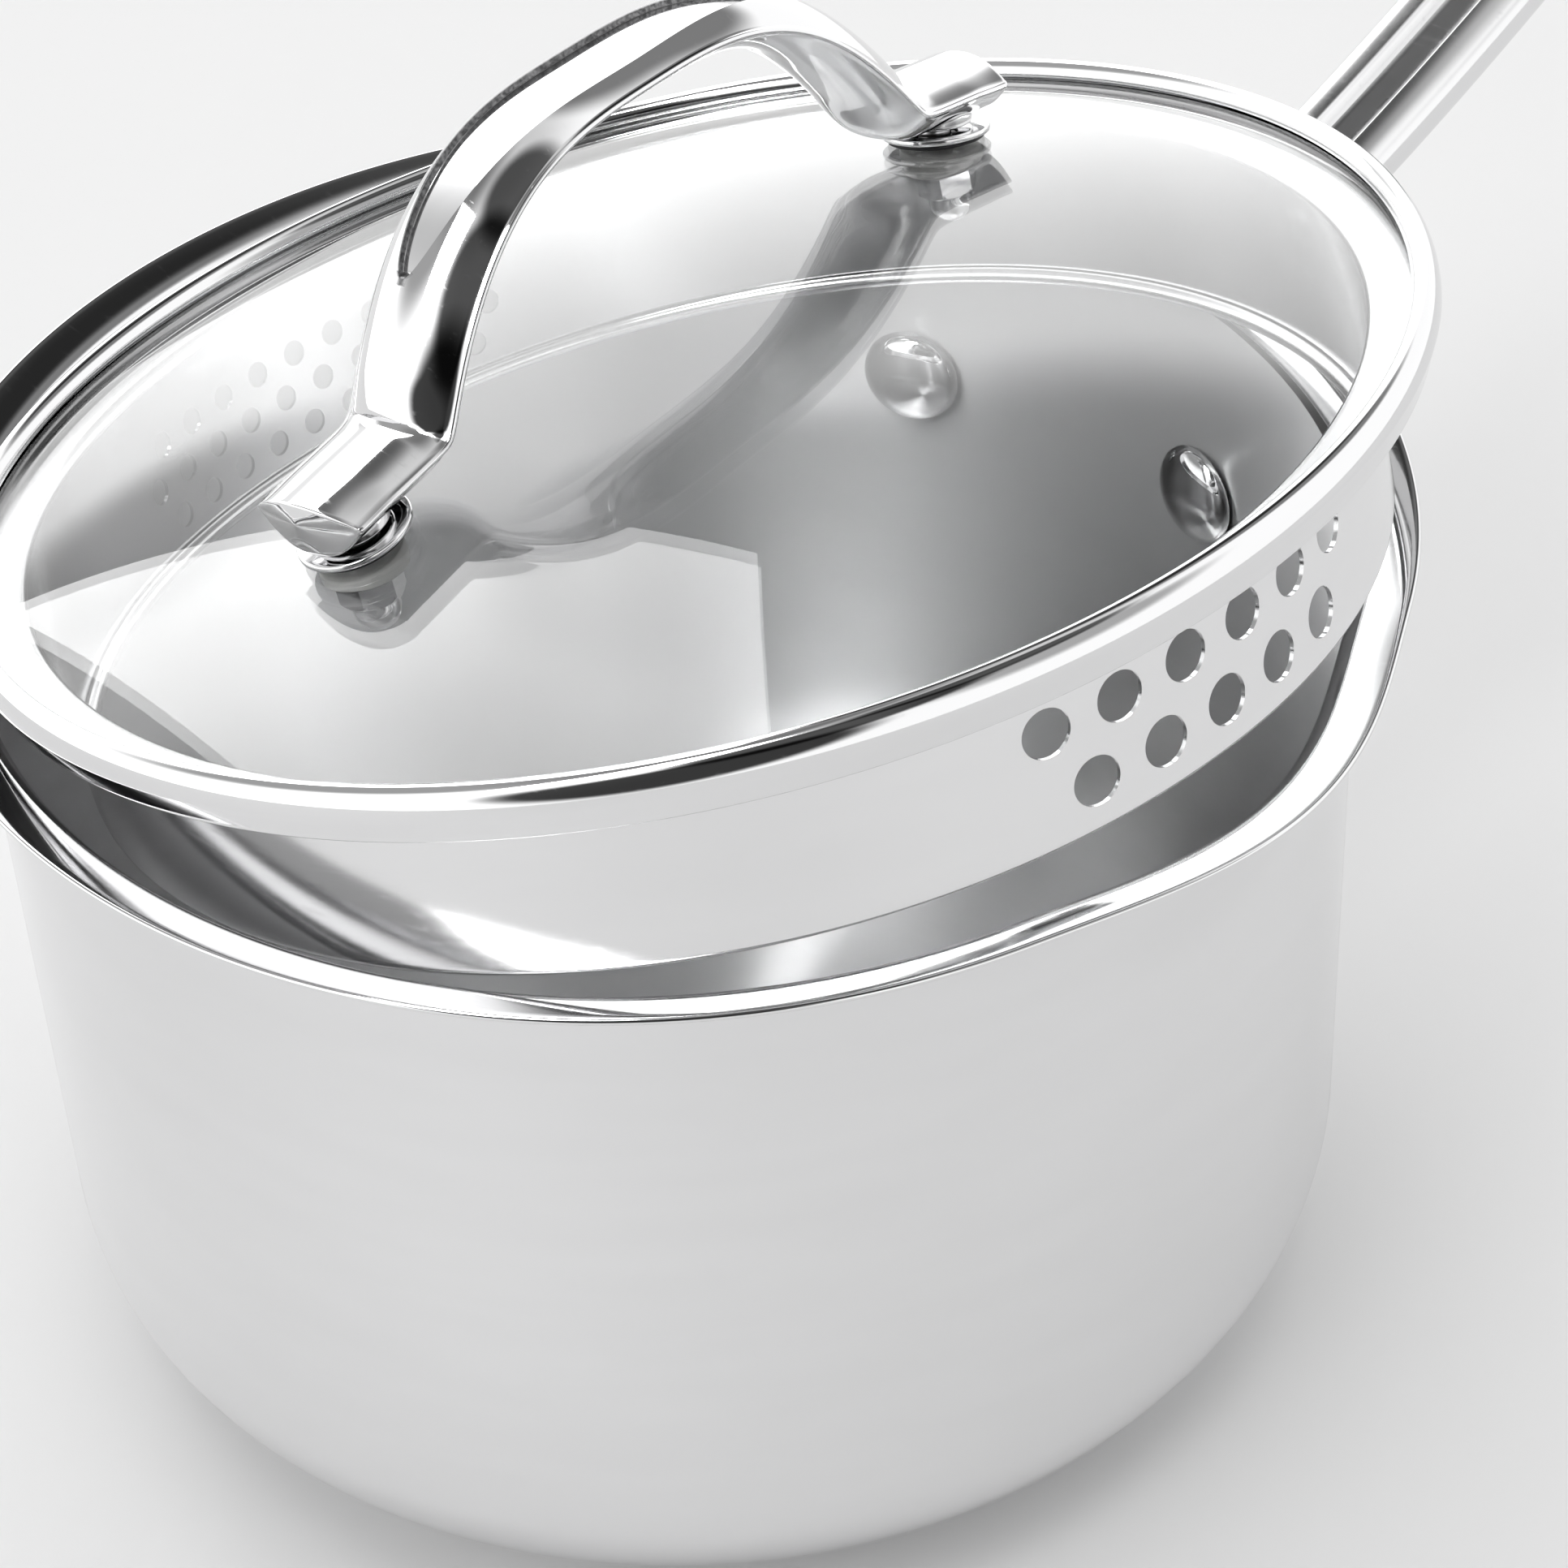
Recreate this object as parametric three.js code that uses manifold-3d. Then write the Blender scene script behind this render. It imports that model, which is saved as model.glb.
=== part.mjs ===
// Single-handled straining pot with a domed glass lid standing ajar on its rim.
// Millimetres, +Z up. The origin is the middle of the base, on the surface the pot stands on.
// The long handle points along +X and the pouring spout along -Y.
import * as THREE from 'three';
import { mergeVertices } from 'three/addons/utils/BufferGeometryUtils.js';
import Module from 'manifold-3d';

const wasm = await Module();
wasm.setup();

// Pot body
const wallRadius = 100;
const wallThickness = 1;
const potDepth = 128.7;
const bottomRound = 22.7;
const lipReach = 7.6;
const lipHeight = 3.8;
const lipTurn = 3.4;
const spoutReach = 4.2;
const spoutHalfAngle = 24;
const spoutDepth = 28;

// Sandwich base
const coreThickness = 5;
const capThickness = 0.7;
const capInset = 0.4;

// Long handle and its rivets
const rivetAngle = 17.1;
const rivetDrop = 40.7;
const rivetHeadRadius = 8.2;
const rivetHeadHeight = 4.4;
const rivetShankRadius = 3;
const rivetTailRadius = 5;
const rivetTailHeight = 1.6;
const rivetEdge = 0.6;
const plateThickness = 3.4;
const plateHeight = 27;
const plateMargin = 7.5;
const tailRoom = 2;
const neckLength = 30;
const neckThickness = 15;
const handleLength = 178;
const handleRise = 13;
const handleDip = 5;
const handleWidth = 21;
const handleThickness = 10;
const handleBevel = 3;
const grooveWidth = 9;
const grooveDepth = 2.6;
const grooveStart = 46;
const grooveEnd = 50;
const hangHoleLength = 24;
const hangHoleWidth = 9;
const hangHoleInset = 12;

// Lid rim, strainer band and glass
const rimInset = 1.9;
const rimTaper = 1.5;
const rimFoot = 4.4;
const rimEdge = 0.5;
const rimTop = 3.8;
const beadWidth = 4.1;
const beadLevel = 0.3;
const beadArc = 150;
const rimSheet = 0.7;
const rimShelf = 5.5;
const bandClearance = 3.7;
const bandThickness = 0.6;
const bandDepth = 31.1;
const hemHeight = 2.4;
const hemThickness = 1.3;
const glassInset = 2.5;
const glassThickness = 3.4;
const domeRadius = 345;

// Strainer holes, heights from the lower edge of the band
const largeHole = 7;
const largePitch = 11.2;
const largeRows = [
  { count: 5, height: 7.5 },
  { count: 6, height: 17.2 },
];
const smallHole = 3.9;
const smallPitch = 7.7;
const smallRows = [
  { count: 9, height: 6.8 },
  { count: 10, height: 12.7 },
  { count: 9, height: 18.5 },
];
const bandTurn = -4.9;

// Lid handle and its feet
const footSpan = 122.3;
const footRise = 11.2;
const toeLength = 8.4;
const toeSlope = 0.15;
const kinkInset = 11;
const kinkSoftness = 3;
const fingerRoom = 28.4;
const archPower = 3;
const barWidth = 20;
const barThickness = 8;
const barBevel = 3.4;
const barShoulder = 9;
const recessLength = 77;
const recessWidth = 13.6;
const recessDepth = 2.4;
const bossRadius = 5.6;
const ringRadius = 8.1;
const ringThickness = 1;
const ringDish = 0.2;
const ringLip = 1.2;
const ringEdge = 0.4;
const gasketRadius = 7.2;
const gasketThickness = 0.5;
const studRadius = 2.4;
const studGrip = 6;
const padRadius = 6;
const padThickness = 1.6;
const nutFlats = 8;
const nutHexHeight = 3.8;
const nutDomeRadius = 3.3;
const nutNeck = 1.2;
const nutHoleDepth = 5;

// How the lid stands on the rim
const lidTilt = 12.7;
const lidShift = -5.4;
const lidAside = 0.6;
const lidGap = 0.3;

// Gap left between pieces that bear on each other
const fitGap = 0.25;

// Extra length of a cutting or joining body past the faces it works on
const cutMargin = 8;

// Facets
const bodyFacets = 60;
const smallFacets = 20;
const holeFacets = 12;
const roundSteps = 5;
const lipSteps = 5;
const spoutSteps = 4;
const handleSteps = 14;
const glassSteps = 6;
const barSteps = 32;
const bevelSteps = 3;

const radians = THREE.MathUtils.degToRad;

// Lengths that follow from the sizes above
const innerRadius = wallRadius - wallThickness;
const floorLevel = capThickness + coreThickness + 2 * fitGap;
const lipLevel = floorLevel + potDepth;
const lipRadius = wallRadius + lipReach;
const rivetLevel = lipLevel - rivetDrop;
const capRadius = wallRadius - bottomRound - capInset;
const plateIn = wallRadius + fitGap;
const plateOut = plateIn + plateThickness;
const rimRadius = lipRadius - rimInset;
const bandRadius = innerRadius - bandClearance;
const glassRadius = rimRadius - glassInset;
const flangeLow = -rimFoot + rimSheet + fitGap;
const flangeTop = flangeLow + bandThickness;
const glassEdgeTop = flangeTop + fitGap + glassThickness;
const footX = footSpan / 2;
const slopeAtFoot = Math.asin(footX / domeRadius);

function sag(radius) {
  return domeRadius - Math.sqrt(domeRadius * domeRadius - radius * radius);
}

function glassTop(radius) {
  return glassEdgeTop + sag(glassRadius) - sag(radius);
}

function vec(x, y) {
  return new THREE.Vector2(x, y);
}

// Weld the corners of a geometry, drop empty triangles and turn the faces outwards.
function weld(source) {
  const bare = source.index ? source.toNonIndexed() : source.clone();
  bare.deleteAttribute('normal');
  bare.deleteAttribute('uv');
  const merged = mergeVertices(bare, 1e-4);
  const corner = merged.index.array;
  const kept = [];
  for (let i = 0; i < corner.length; i += 3) {
    const [a, b, c] = [corner[i], corner[i + 1], corner[i + 2]];
    if (a !== b && b !== c && c !== a) kept.push(a, b, c);
  }
  const at = merged.getAttribute('position');
  const [p, q, r] = [new THREE.Vector3(), new THREE.Vector3(), new THREE.Vector3()];
  let volume = 0;
  for (let i = 0; i < kept.length; i += 3) {
    p.fromBufferAttribute(at, kept[i]);
    q.fromBufferAttribute(at, kept[i + 1]);
    r.fromBufferAttribute(at, kept[i + 2]);
    volume += p.dot(q.cross(r));
  }
  if (volume < 0) {
    for (let i = 0; i < kept.length; i += 3) [kept[i], kept[i + 1]] = [kept[i + 1], kept[i]];
  }
  const result = new THREE.BufferGeometry();
  result.setAttribute('position', at.clone());
  result.setIndex(kept);
  return result;
}

function toSolid(geometry) {
  const tidy = weld(geometry);
  return new wasm.Manifold(new wasm.Mesh({
    numProp: 3,
    vertProperties: new Float32Array(tidy.getAttribute('position').array),
    triVerts: new Uint32Array(tidy.index.array),
  }));
}

function toGeometry(solid) {
  const mesh = solid.getMesh();
  const geometry = new THREE.BufferGeometry();
  geometry.setAttribute('position', new THREE.BufferAttribute(new Float32Array(mesh.vertProperties), 3));
  geometry.setIndex(new THREE.BufferAttribute(new Uint32Array(mesh.triVerts), 1));
  return geometry;
}

// Turn a profile of (radius, height) points about the Z axis.
function turned(points, facets = bodyFacets) {
  const geometry = new THREE.LatheGeometry(points, facets);
  geometry.rotateX(Math.PI / 2);
  return weld(geometry);
}

function closedRing(points, facets = bodyFacets) {
  return turned([...points, points[0].clone()], facets);
}

// Extrude an outline of (x, z) points evenly to both sides of the XZ plane.
// The outline draws in by the bevel over a shoulder at each side.
function across(points, width, bevel = 0, shoulder = bevel) {
  const shape = new THREE.Shape(points);
  const geometry = new THREE.ExtrudeGeometry(shape, {
    depth: width - 2 * shoulder,
    bevelEnabled: bevel > 0,
    bevelThickness: shoulder,
    bevelSize: bevel,
    bevelOffset: -bevel,
    bevelSegments: bevelSteps,
    steps: 1,
  });
  geometry.translate(0, 0, shoulder - width / 2);
  geometry.rotateX(Math.PI / 2);
  return geometry;
}

function pin(radius, low, high, facets = smallFacets) {
  const geometry = new THREE.CylinderGeometry(radius, radius, high - low, facets);
  geometry.rotateX(Math.PI / 2);
  geometry.translate(0, 0, (low + high) / 2);
  return geometry;
}

function piece(name, geometry, color, roughness, metalness, opacity = 1) {
  geometry.computeVertexNormals();
  const material = new THREE.MeshStandardMaterial({ color, roughness, metalness });
  material.opacity = opacity;
  material.transparent = opacity < 1;
  const mesh = new THREE.Mesh(geometry, material);
  mesh.name = name;
  return mesh;
}

// Inner line of the flared lip, from the straight wall out to the lip's edge.
const flare = new THREE.QuadraticBezierCurve(
  vec(innerRadius, lipLevel - lipHeight - lipTurn),
  vec(innerRadius, lipLevel - lipHeight),
  vec(lipRadius, lipLevel),
);

// Radial push of the spout at an angle and height of the pot.
function spoutPush(angle, height) {
  const off = Math.abs(Math.atan2(Math.sin(angle + Math.PI / 2), Math.cos(angle + Math.PI / 2)));
  const width = radians(spoutHalfAngle);
  if (off >= width) return 0;
  const up = THREE.MathUtils.smoothstep(height, lipLevel - spoutDepth, lipLevel);
  return spoutReach * up * Math.cos((Math.PI / 2) * (off / width)) ** 2;
}

function pushSpout(geometry) {
  const at = geometry.getAttribute('position');
  for (let i = 0; i < at.count; i += 1) {
    const [x, y, z] = [at.getX(i), at.getY(i), at.getZ(i)];
    const radius = Math.hypot(x, y);
    if (radius < wallRadius / 2) continue;
    const scale = 1 + spoutPush(Math.atan2(y, x), z) / radius;
    at.setXY(i, x * scale, y * scale);
  }
  return geometry;
}

// Quarter round about a centre, starting straight below it or, with a negative rise, straight above it.
function quarter(centreX, centreY, reach, rise) {
  const line = [];
  for (let i = 0; i <= roundSteps; i += 1) {
    const turn = (i / roundSteps) * (Math.PI / 2);
    line.push(vec(centreX + reach * Math.sin(turn), centreY - rise * Math.cos(turn)));
  }
  return line;
}

// Wall line of the pot at a distance from its outer face, floor to the start of the lip.
function wallLine(inset) {
  const round = bottomRound - inset;
  const line = [
    vec(0, floorLevel + inset),
    ...quarter(wallRadius - bottomRound, floorLevel + bottomRound, round, round),
  ];
  const spoutLow = lipLevel - spoutDepth;
  const wallTop = lipLevel - lipHeight - lipTurn;
  for (let i = 0; i < spoutSteps; i += 1) {
    line.push(vec(wallRadius - inset, THREE.MathUtils.lerp(spoutLow, wallTop, i / spoutSteps)));
  }
  return line;
}

// Round bar standing out of the wall at one of the two rivets.
function atRivet(side, radius, from, to) {
  const bar = pin(radius, from, to);
  bar.rotateY(Math.PI / 2);
  bar.translate(0, 0, rivetLevel);
  bar.rotateZ(radians(side * rivetAngle));
  return toSolid(bar);
}

function potShell() {
  const outer = wallLine(0);
  const inner = wallLine(wallThickness);
  for (let i = 0; i <= lipSteps; i += 1) {
    const point = flare.getPoint(i / lipSteps);
    const along = flare.getTangent(i / lipSteps);
    inner.push(point);
    outer.push(vec(point.x + wallThickness * along.y, point.y - wallThickness * along.x));
  }
  const tip = flare.getTangent(1).multiplyScalar(wallThickness / 2);
  const edge = inner.at(-1).clone().add(outer.at(-1)).multiplyScalar(0.5).add(tip);
  let solid = toSolid(pushSpout(turned([...outer, edge, ...inner.reverse()])));
  for (const side of [-1, 1]) {
    const hole = atRivet(side, rivetShankRadius + fitGap, innerRadius - cutMargin, wallRadius + cutMargin);
    solid = solid.subtract(hole);
  }
  return toGeometry(solid);
}

function baseCore() {
  const radius = capRadius - capThickness - fitGap;
  const low = capThickness + fitGap;
  return turned([
    vec(0, low),
    vec(radius, low),
    vec(radius, low + coreThickness),
    vec(0, low + coreThickness),
  ]);
}

function baseCap() {
  const top = floorLevel - fitGap;
  return turned([
    vec(0, 0),
    vec(capRadius - capThickness, 0),
    vec(capRadius, capThickness),
    vec(capRadius, top),
    vec(capRadius - capThickness, top),
    vec(capRadius - capThickness, capThickness),
    vec(0, capThickness),
  ]);
}

// Outline with straight sides and round ends, lying along X about a middle point.
function slot(middle, length, width) {
  const half = (length - width) / 2;
  const outline = new THREE.Shape();
  outline.absarc(middle + half, 0, width / 2, -Math.PI / 2, Math.PI / 2, false);
  outline.absarc(middle - half, 0, width / 2, Math.PI / 2, -Math.PI / 2, false);
  return outline;
}

// Curved plate with round ends that lies on the wall under both rivet tails.
function handlePlate() {
  const rivetAside = plateOut * Math.sin(radians(rivetAngle));
  const length = 2 * (rivetAside + rivetTailRadius + plateMargin);
  const stamp = new THREE.ExtrudeGeometry(slot(0, length, plateHeight), {
    depth: plateOut,
    bevelEnabled: false,
    curveSegments: smallFacets / 2,
  });
  stamp.rotateX(Math.PI / 2);
  stamp.rotateZ(Math.PI / 2);
  stamp.translate(0, 0, rivetLevel);
  const sheet = closedRing([
    vec(plateIn, rivetLevel - plateHeight),
    vec(plateOut, rivetLevel - plateHeight),
    vec(plateOut, rivetLevel + plateHeight),
    vec(plateIn, rivetLevel + plateHeight),
  ]);
  return toSolid(sheet).intersect(toSolid(stamp));
}

// Long handle: the plate, a neck that narrows into a rising bar, a groove on top and a hanging hole.
function potHandle() {
  const root = plateIn + plateThickness / 2;
  const end = root + handleLength;
  const neckEnd = root + neckLength;
  const middleLine = (x) => {
    const along = (x - root) / handleLength;
    return rivetLevel + Math.tan(radians(handleRise)) * (x - root) - handleDip * Math.sin(Math.PI * along);
  };
  const strip = (from, to, low, high) => {
    const under = [];
    const over = [];
    for (let i = 0; i <= handleSteps; i += 1) {
      const x = THREE.MathUtils.lerp(from, to, i / handleSteps);
      under.push(vec(x, middleLine(x) + low(x)));
      over.push(vec(x, middleLine(x) + high(x)));
    }
    return [...under, ...over.reverse()];
  };
  const halfHeight = (x) => {
    const left = 1 - Math.min(1, (x - root) / neckLength);
    return handleThickness / 2 + ((neckThickness - handleThickness) / 2) * left ** 2;
  };
  const bar = across(strip(root, end, (x) => -halfHeight(x), halfHeight), handleWidth, handleBevel);
  const wide = plateOut * Math.sin(radians(rivetAngle)) - rivetTailRadius - tailRoom;
  const flank = new THREE.Shape();
  flank.moveTo(root, -wide);
  flank.quadraticCurveTo(root + neckLength / 3, -handleWidth / 2, neckEnd, handleBevel - handleWidth / 2);
  flank.lineTo(neckEnd, handleWidth / 2 - handleBevel);
  flank.quadraticCurveTo(root + neckLength / 3, handleWidth / 2, root, wide);
  const neck = new THREE.ExtrudeGeometry(flank, {
    depth: handleThickness,
    bevelEnabled: false,
    curveSegments: roundSteps,
  });
  neck.translate(0, 0, rivetLevel - handleThickness / 2);
  const wall = turned([
    vec(0, rivetLevel - plateHeight),
    vec(plateIn, rivetLevel - plateHeight),
    vec(plateIn, rivetLevel + plateHeight),
    vec(0, rivetLevel + plateHeight),
  ]);
  const bed = () => handleThickness / 2 - grooveDepth;
  const sky = () => handleThickness / 2 + grooveDepth;
  const groove = across(strip(root + grooveStart, end - grooveEnd, bed, sky), grooveWidth);
  const eye = slot(end - hangHoleInset - hangHoleLength / 2, hangHoleLength, hangHoleWidth);
  const hang = new THREE.ExtrudeGeometry(eye, {
    depth: handleLength,
    bevelEnabled: false,
    curveSegments: smallFacets / 2,
  });
  hang.translate(0, 0, middleLine(end) - handleLength / 2);
  let solid = handlePlate().add(toSolid(bar)).add(toSolid(neck));
  solid = solid.subtract(toSolid(wall)).subtract(toSolid(groove)).subtract(toSolid(hang));
  for (const side of [-1, 1]) {
    solid = solid.subtract(atRivet(side, rivetShankRadius + fitGap, innerRadius, plateOut + cutMargin));
  }
  return toGeometry(solid);
}

// Rivet along +Z from its domed head inside the pot to its flat tail on the handle's plate.
function rivet() {
  const bow = innerRadius - Math.sqrt(innerRadius ** 2 - rivetHeadRadius ** 2);
  const seat = innerRadius - bow - fitGap;
  const tail = plateOut + fitGap;
  return turned([
    ...quarter(0, seat - rivetEdge, rivetHeadRadius, rivetHeadHeight - rivetEdge),
    vec(rivetHeadRadius, seat),
    vec(rivetShankRadius, seat),
    vec(rivetShankRadius, tail),
    vec(rivetTailRadius, tail),
    vec(rivetTailRadius - rivetEdge, tail + rivetTailHeight),
    vec(0, tail + rivetTailHeight),
  ], smallFacets);
}

// Rolled rim section round the glass edge and the flange of the band.
function rimSection() {
  const footRadius = rimRadius - rimTaper;
  const shelfRadius = rimRadius - rimShelf;
  const bead = new THREE.EllipseCurve(
    rimRadius - beadWidth / 2,
    beadLevel,
    beadWidth / 2,
    rimTop - beadLevel,
    0,
    radians(beadArc),
  ).getPoints(2 * roundSteps - 2);
  const lip = bead.at(-1).x;
  return [
    vec(shelfRadius, -rimFoot),
    vec(footRadius - rimEdge, -rimFoot),
    vec(footRadius, -rimFoot + rimEdge),
    ...bead,
    vec(lip, glassTop(lip) + fitGap),
    vec(glassRadius + fitGap, glassTop(glassRadius) + fitGap),
    vec(glassRadius + fitGap, -rimFoot + rimSheet),
    vec(shelfRadius, -rimFoot + rimSheet),
  ];
}

const rimProfile = rimSection();

function strainerBand() {
  const inside = bandRadius - bandThickness;
  const band = closedRing([
    vec(bandRadius - hemThickness, -bandDepth),
    vec(bandRadius, -bandDepth),
    vec(bandRadius, flangeLow),
    vec(glassRadius, flangeLow),
    vec(glassRadius, flangeTop),
    vec(inside, flangeTop),
    vec(inside, -bandDepth + hemHeight),
    vec(bandRadius - hemThickness, -bandDepth + hemHeight),
  ]);
  const holes = [];
  const drill = (rows, pitch, size, centre) => {
    for (const row of rows) {
      for (let i = 0; i < row.count; i += 1) {
        const along = (i - (row.count - 1) / 2) * pitch;
        const hole = pin(size / 2, inside - cutMargin, bandRadius + cutMargin, holeFacets);
        hole.rotateY(Math.PI / 2);
        hole.translate(0, 0, -bandDepth + row.height);
        hole.rotateZ(radians(centre + bandTurn) + along / bandRadius);
        holes.push(toSolid(hole));
      }
    }
  };
  drill(largeRows, largePitch, largeHole, -90);
  drill(smallRows, smallPitch, smallHole, 90);
  return toGeometry(toSolid(band).subtract(wasm.Manifold.union(holes)));
}

function glassPane() {
  const upper = [];
  const lower = [];
  for (let i = 0; i <= glassSteps; i += 1) {
    const radius = (glassRadius * i) / glassSteps;
    upper.push(vec(radius, glassTop(radius)));
    lower.push(vec(radius, glassTop(radius) - glassThickness));
  }
  let solid = toSolid(turned([...lower, ...upper.reverse()]));
  for (const side of [-1, 1]) {
    const hole = pin(studRadius + 2 * fitGap, -glassThickness, glassTop(0) + cutMargin);
    hole.translate(side * footX, 0, 0);
    solid = solid.subtract(toSolid(hole));
  }
  return toGeometry(solid);
}

// Top line of the lid handle: an arch that softens into two flat toes.
const footTop = glassTop(footX) + footRise;
const kinkX = footX - kinkInset;
const kinkTop = footTop + kinkInset * toeSlope;
const archTop = glassTop(0) + fingerRoom + barThickness;

function barTop(x) {
  const out = Math.abs(x);
  const arch = archTop - (archTop - kinkTop) * (out / kinkX) ** archPower;
  const toe = kinkTop - (out - kinkX) * toeSlope;
  return (arch + toe + Math.hypot(arch - toe, kinkSoftness)) / 2;
}

// Points along the bar at a depth below its top line, measured square to it.
function barLine(depth, from, to, count) {
  const line = [];
  for (let i = 0; i <= count; i += 1) {
    const x = THREE.MathUtils.lerp(from, to, i / count);
    const slope = (barTop(x + 0.01) - barTop(x - 0.01)) / 0.02;
    const size = Math.hypot(1, slope);
    line.push(vec(x + (depth * slope) / size, barTop(x) - depth / size));
  }
  return line;
}

// Slanted block beside a foot, whose upper face keeps a height over the glass.
function besideGlass(side, height, depth) {
  const width = 2 * (padRadius + bossRadius + cutMargin);
  const block = new THREE.BoxGeometry(width, width, depth);
  block.translate(0, 0, height - depth / 2);
  block.rotateY(side * slopeAtFoot);
  block.translate(side * footX, 0, glassTop(footX));
  return block;
}

const ringSeat = gasketThickness + 2 * fitGap;
const ringTop = ringSeat + ringThickness + ringDish;

function lidHandle() {
  const toe = footX + toeLength;
  const upper = barLine(0, -toe, toe, barSteps);
  const lower = barLine(barThickness, -toe, toe, barSteps);
  let solid = toSolid(across([...lower, ...upper.reverse()], barWidth, barBevel, barShoulder));
  const oval = new THREE.Shape();
  oval.absellipse(0, 0, recessLength / 2, recessWidth / 2, 0, Math.PI * 2, false, 0);
  const well = new THREE.ExtrudeGeometry(oval, {
    depth: 2 * archTop,
    bevelEnabled: false,
    curveSegments: smallFacets,
  });
  const reach = recessLength / 2 + cutMargin;
  const bed = barLine(recessDepth, -reach, reach, barSteps);
  const sky = barLine(-recessDepth, -reach, reach, barSteps);
  const slab = toSolid(across([...bed, ...sky.reverse()], barWidth));
  solid = solid.subtract(slab.intersect(toSolid(well)));
  for (const side of [-1, 1]) {
    const boss = pin(bossRadius, glassTop(footX), footTop - barThickness / 2);
    boss.translate(side * footX, 0, 0);
    const bore = pin(studRadius + fitGap, glassTop(footX) - cutMargin, glassTop(footX) + studGrip + fitGap);
    bore.translate(side * footX, 0, 0);
    const foot = toSolid(boss).subtract(toSolid(besideGlass(side, ringTop + fitGap, ringTop + cutMargin)));
    solid = solid.add(foot).subtract(toSolid(bore));
  }
  return toGeometry(solid);
}

function footRing() {
  const bore = studRadius + 4 * fitGap;
  return closedRing([
    vec(bore, ringSeat),
    vec(ringRadius, ringSeat),
    vec(ringRadius, ringSeat + ringThickness - ringEdge),
    vec(ringRadius - ringEdge, ringSeat + ringThickness),
    vec(ringRadius - ringLip, ringSeat + ringThickness),
    vec(bossRadius, ringTop),
    vec(bore, ringTop),
  ], smallFacets);
}

function footGasket() {
  const bore = studRadius + 4 * fitGap;
  return closedRing([
    vec(bore, fitGap),
    vec(gasketRadius, fitGap),
    vec(gasketRadius, fitGap + gasketThickness),
    vec(bore, fitGap + gasketThickness),
  ], smallFacets);
}

// Level at which the nut bears on its soft wedge pad, under the glass.
const glassUnder = glassTop(footX) - glassThickness / Math.cos(slopeAtFoot);
const padLow = glassUnder - padRadius * Math.tan(slopeAtFoot) - padThickness;

function nutPad(side) {
  const disc = toSolid(pin(padRadius, padLow, glassTop(footX)).translate(side * footX, 0, 0));
  const glassSide = besideGlass(side, cutMargin, glassThickness + fitGap + cutMargin);
  const bore = pin(studRadius + 2 * fitGap, padLow - cutMargin, glassTop(footX) + cutMargin);
  bore.translate(side * footX, 0, 0);
  return toGeometry(disc.subtract(toSolid(glassSide)).subtract(toSolid(bore)));
}

const nutTop = padLow - fitGap;

function capNut() {
  const hex = pin(nutFlats / Math.sqrt(3), nutTop - nutHexHeight, nutTop, 6);
  const dome = [
    ...quarter(0, nutTop - nutHexHeight - nutNeck, nutDomeRadius, nutDomeRadius),
    vec(nutDomeRadius, nutTop - nutHexHeight / 2),
    vec(0, nutTop - nutHexHeight / 2),
  ];
  const hole = pin(studRadius + fitGap, nutTop - nutHoleDepth - fitGap, nutTop + cutMargin);
  return toGeometry(toSolid(hex).add(toSolid(turned(dome, smallFacets))).subtract(toSolid(hole)));
}

function footStud() {
  return weld(pin(studRadius, nutTop - nutHoleDepth, glassTop(footX) + studGrip));
}

// Height of the lid's middle: its rim and band come straight down until one gap is left over the pot's lip.
function lidLevel() {
  const tilt = radians(lidTilt);
  const places = 12 * bodyFacets;
  const lip = flare.getPoints(4 * lipSteps);
  const surface = (radius) => {
    if (radius <= innerRadius) return lip[0].y;
    for (let i = 1; i < lip.length; i += 1) {
      if (radius <= lip[i].x) {
        const part = (radius - lip[i - 1].x) / (lip[i].x - lip[i - 1].x);
        return THREE.MathUtils.lerp(lip[i - 1].y, lip[i].y, part);
      }
    }
    return lipLevel;
  };
  let level = 0;
  for (const point of [...rimProfile, vec(bandRadius, -bandDepth), vec(bandRadius, -bandDepth / 2)]) {
    for (let i = 0; i < places; i += 1) {
      const turn = (i / places) * Math.PI * 2;
      const [x, y] = [point.x * Math.cos(turn), point.x * Math.sin(turn)];
      const planY = lidShift + y * Math.cos(tilt) + point.y * Math.sin(tilt);
      const radius = Math.hypot(lidAside + x, planY);
      if (radius < innerRadius - lidGap || radius > lipRadius + lidGap) continue;
      const height = point.y * Math.cos(tilt) - y * Math.sin(tilt);
      level = Math.max(level, surface(radius + lidGap) + lidGap - height);
    }
  }
  return level;
}

const pot = new THREE.Group();
pot.add(piece('pot_shell', potShell(), 0xd2d2d4, 0.22, 1));
pot.add(piece('base_core', baseCore(), 0xb9bbbe, 0.5, 1));
pot.add(piece('base_cap', baseCap(), 0xc8c8ca, 0.3, 1));
pot.add(piece('pot_handle', potHandle(), 0xd0d0d2, 0.2, 1));
for (const [name, side] of [['rivet_left', 1], ['rivet_right', -1]]) {
  const shape = rivet();
  shape.rotateY(Math.PI / 2);
  const head = piece(name, shape, 0xd6d6d8, 0.15, 1);
  head.position.z = rivetLevel;
  head.rotation.z = radians(side * rivetAngle);
  pot.add(head);
}

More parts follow.
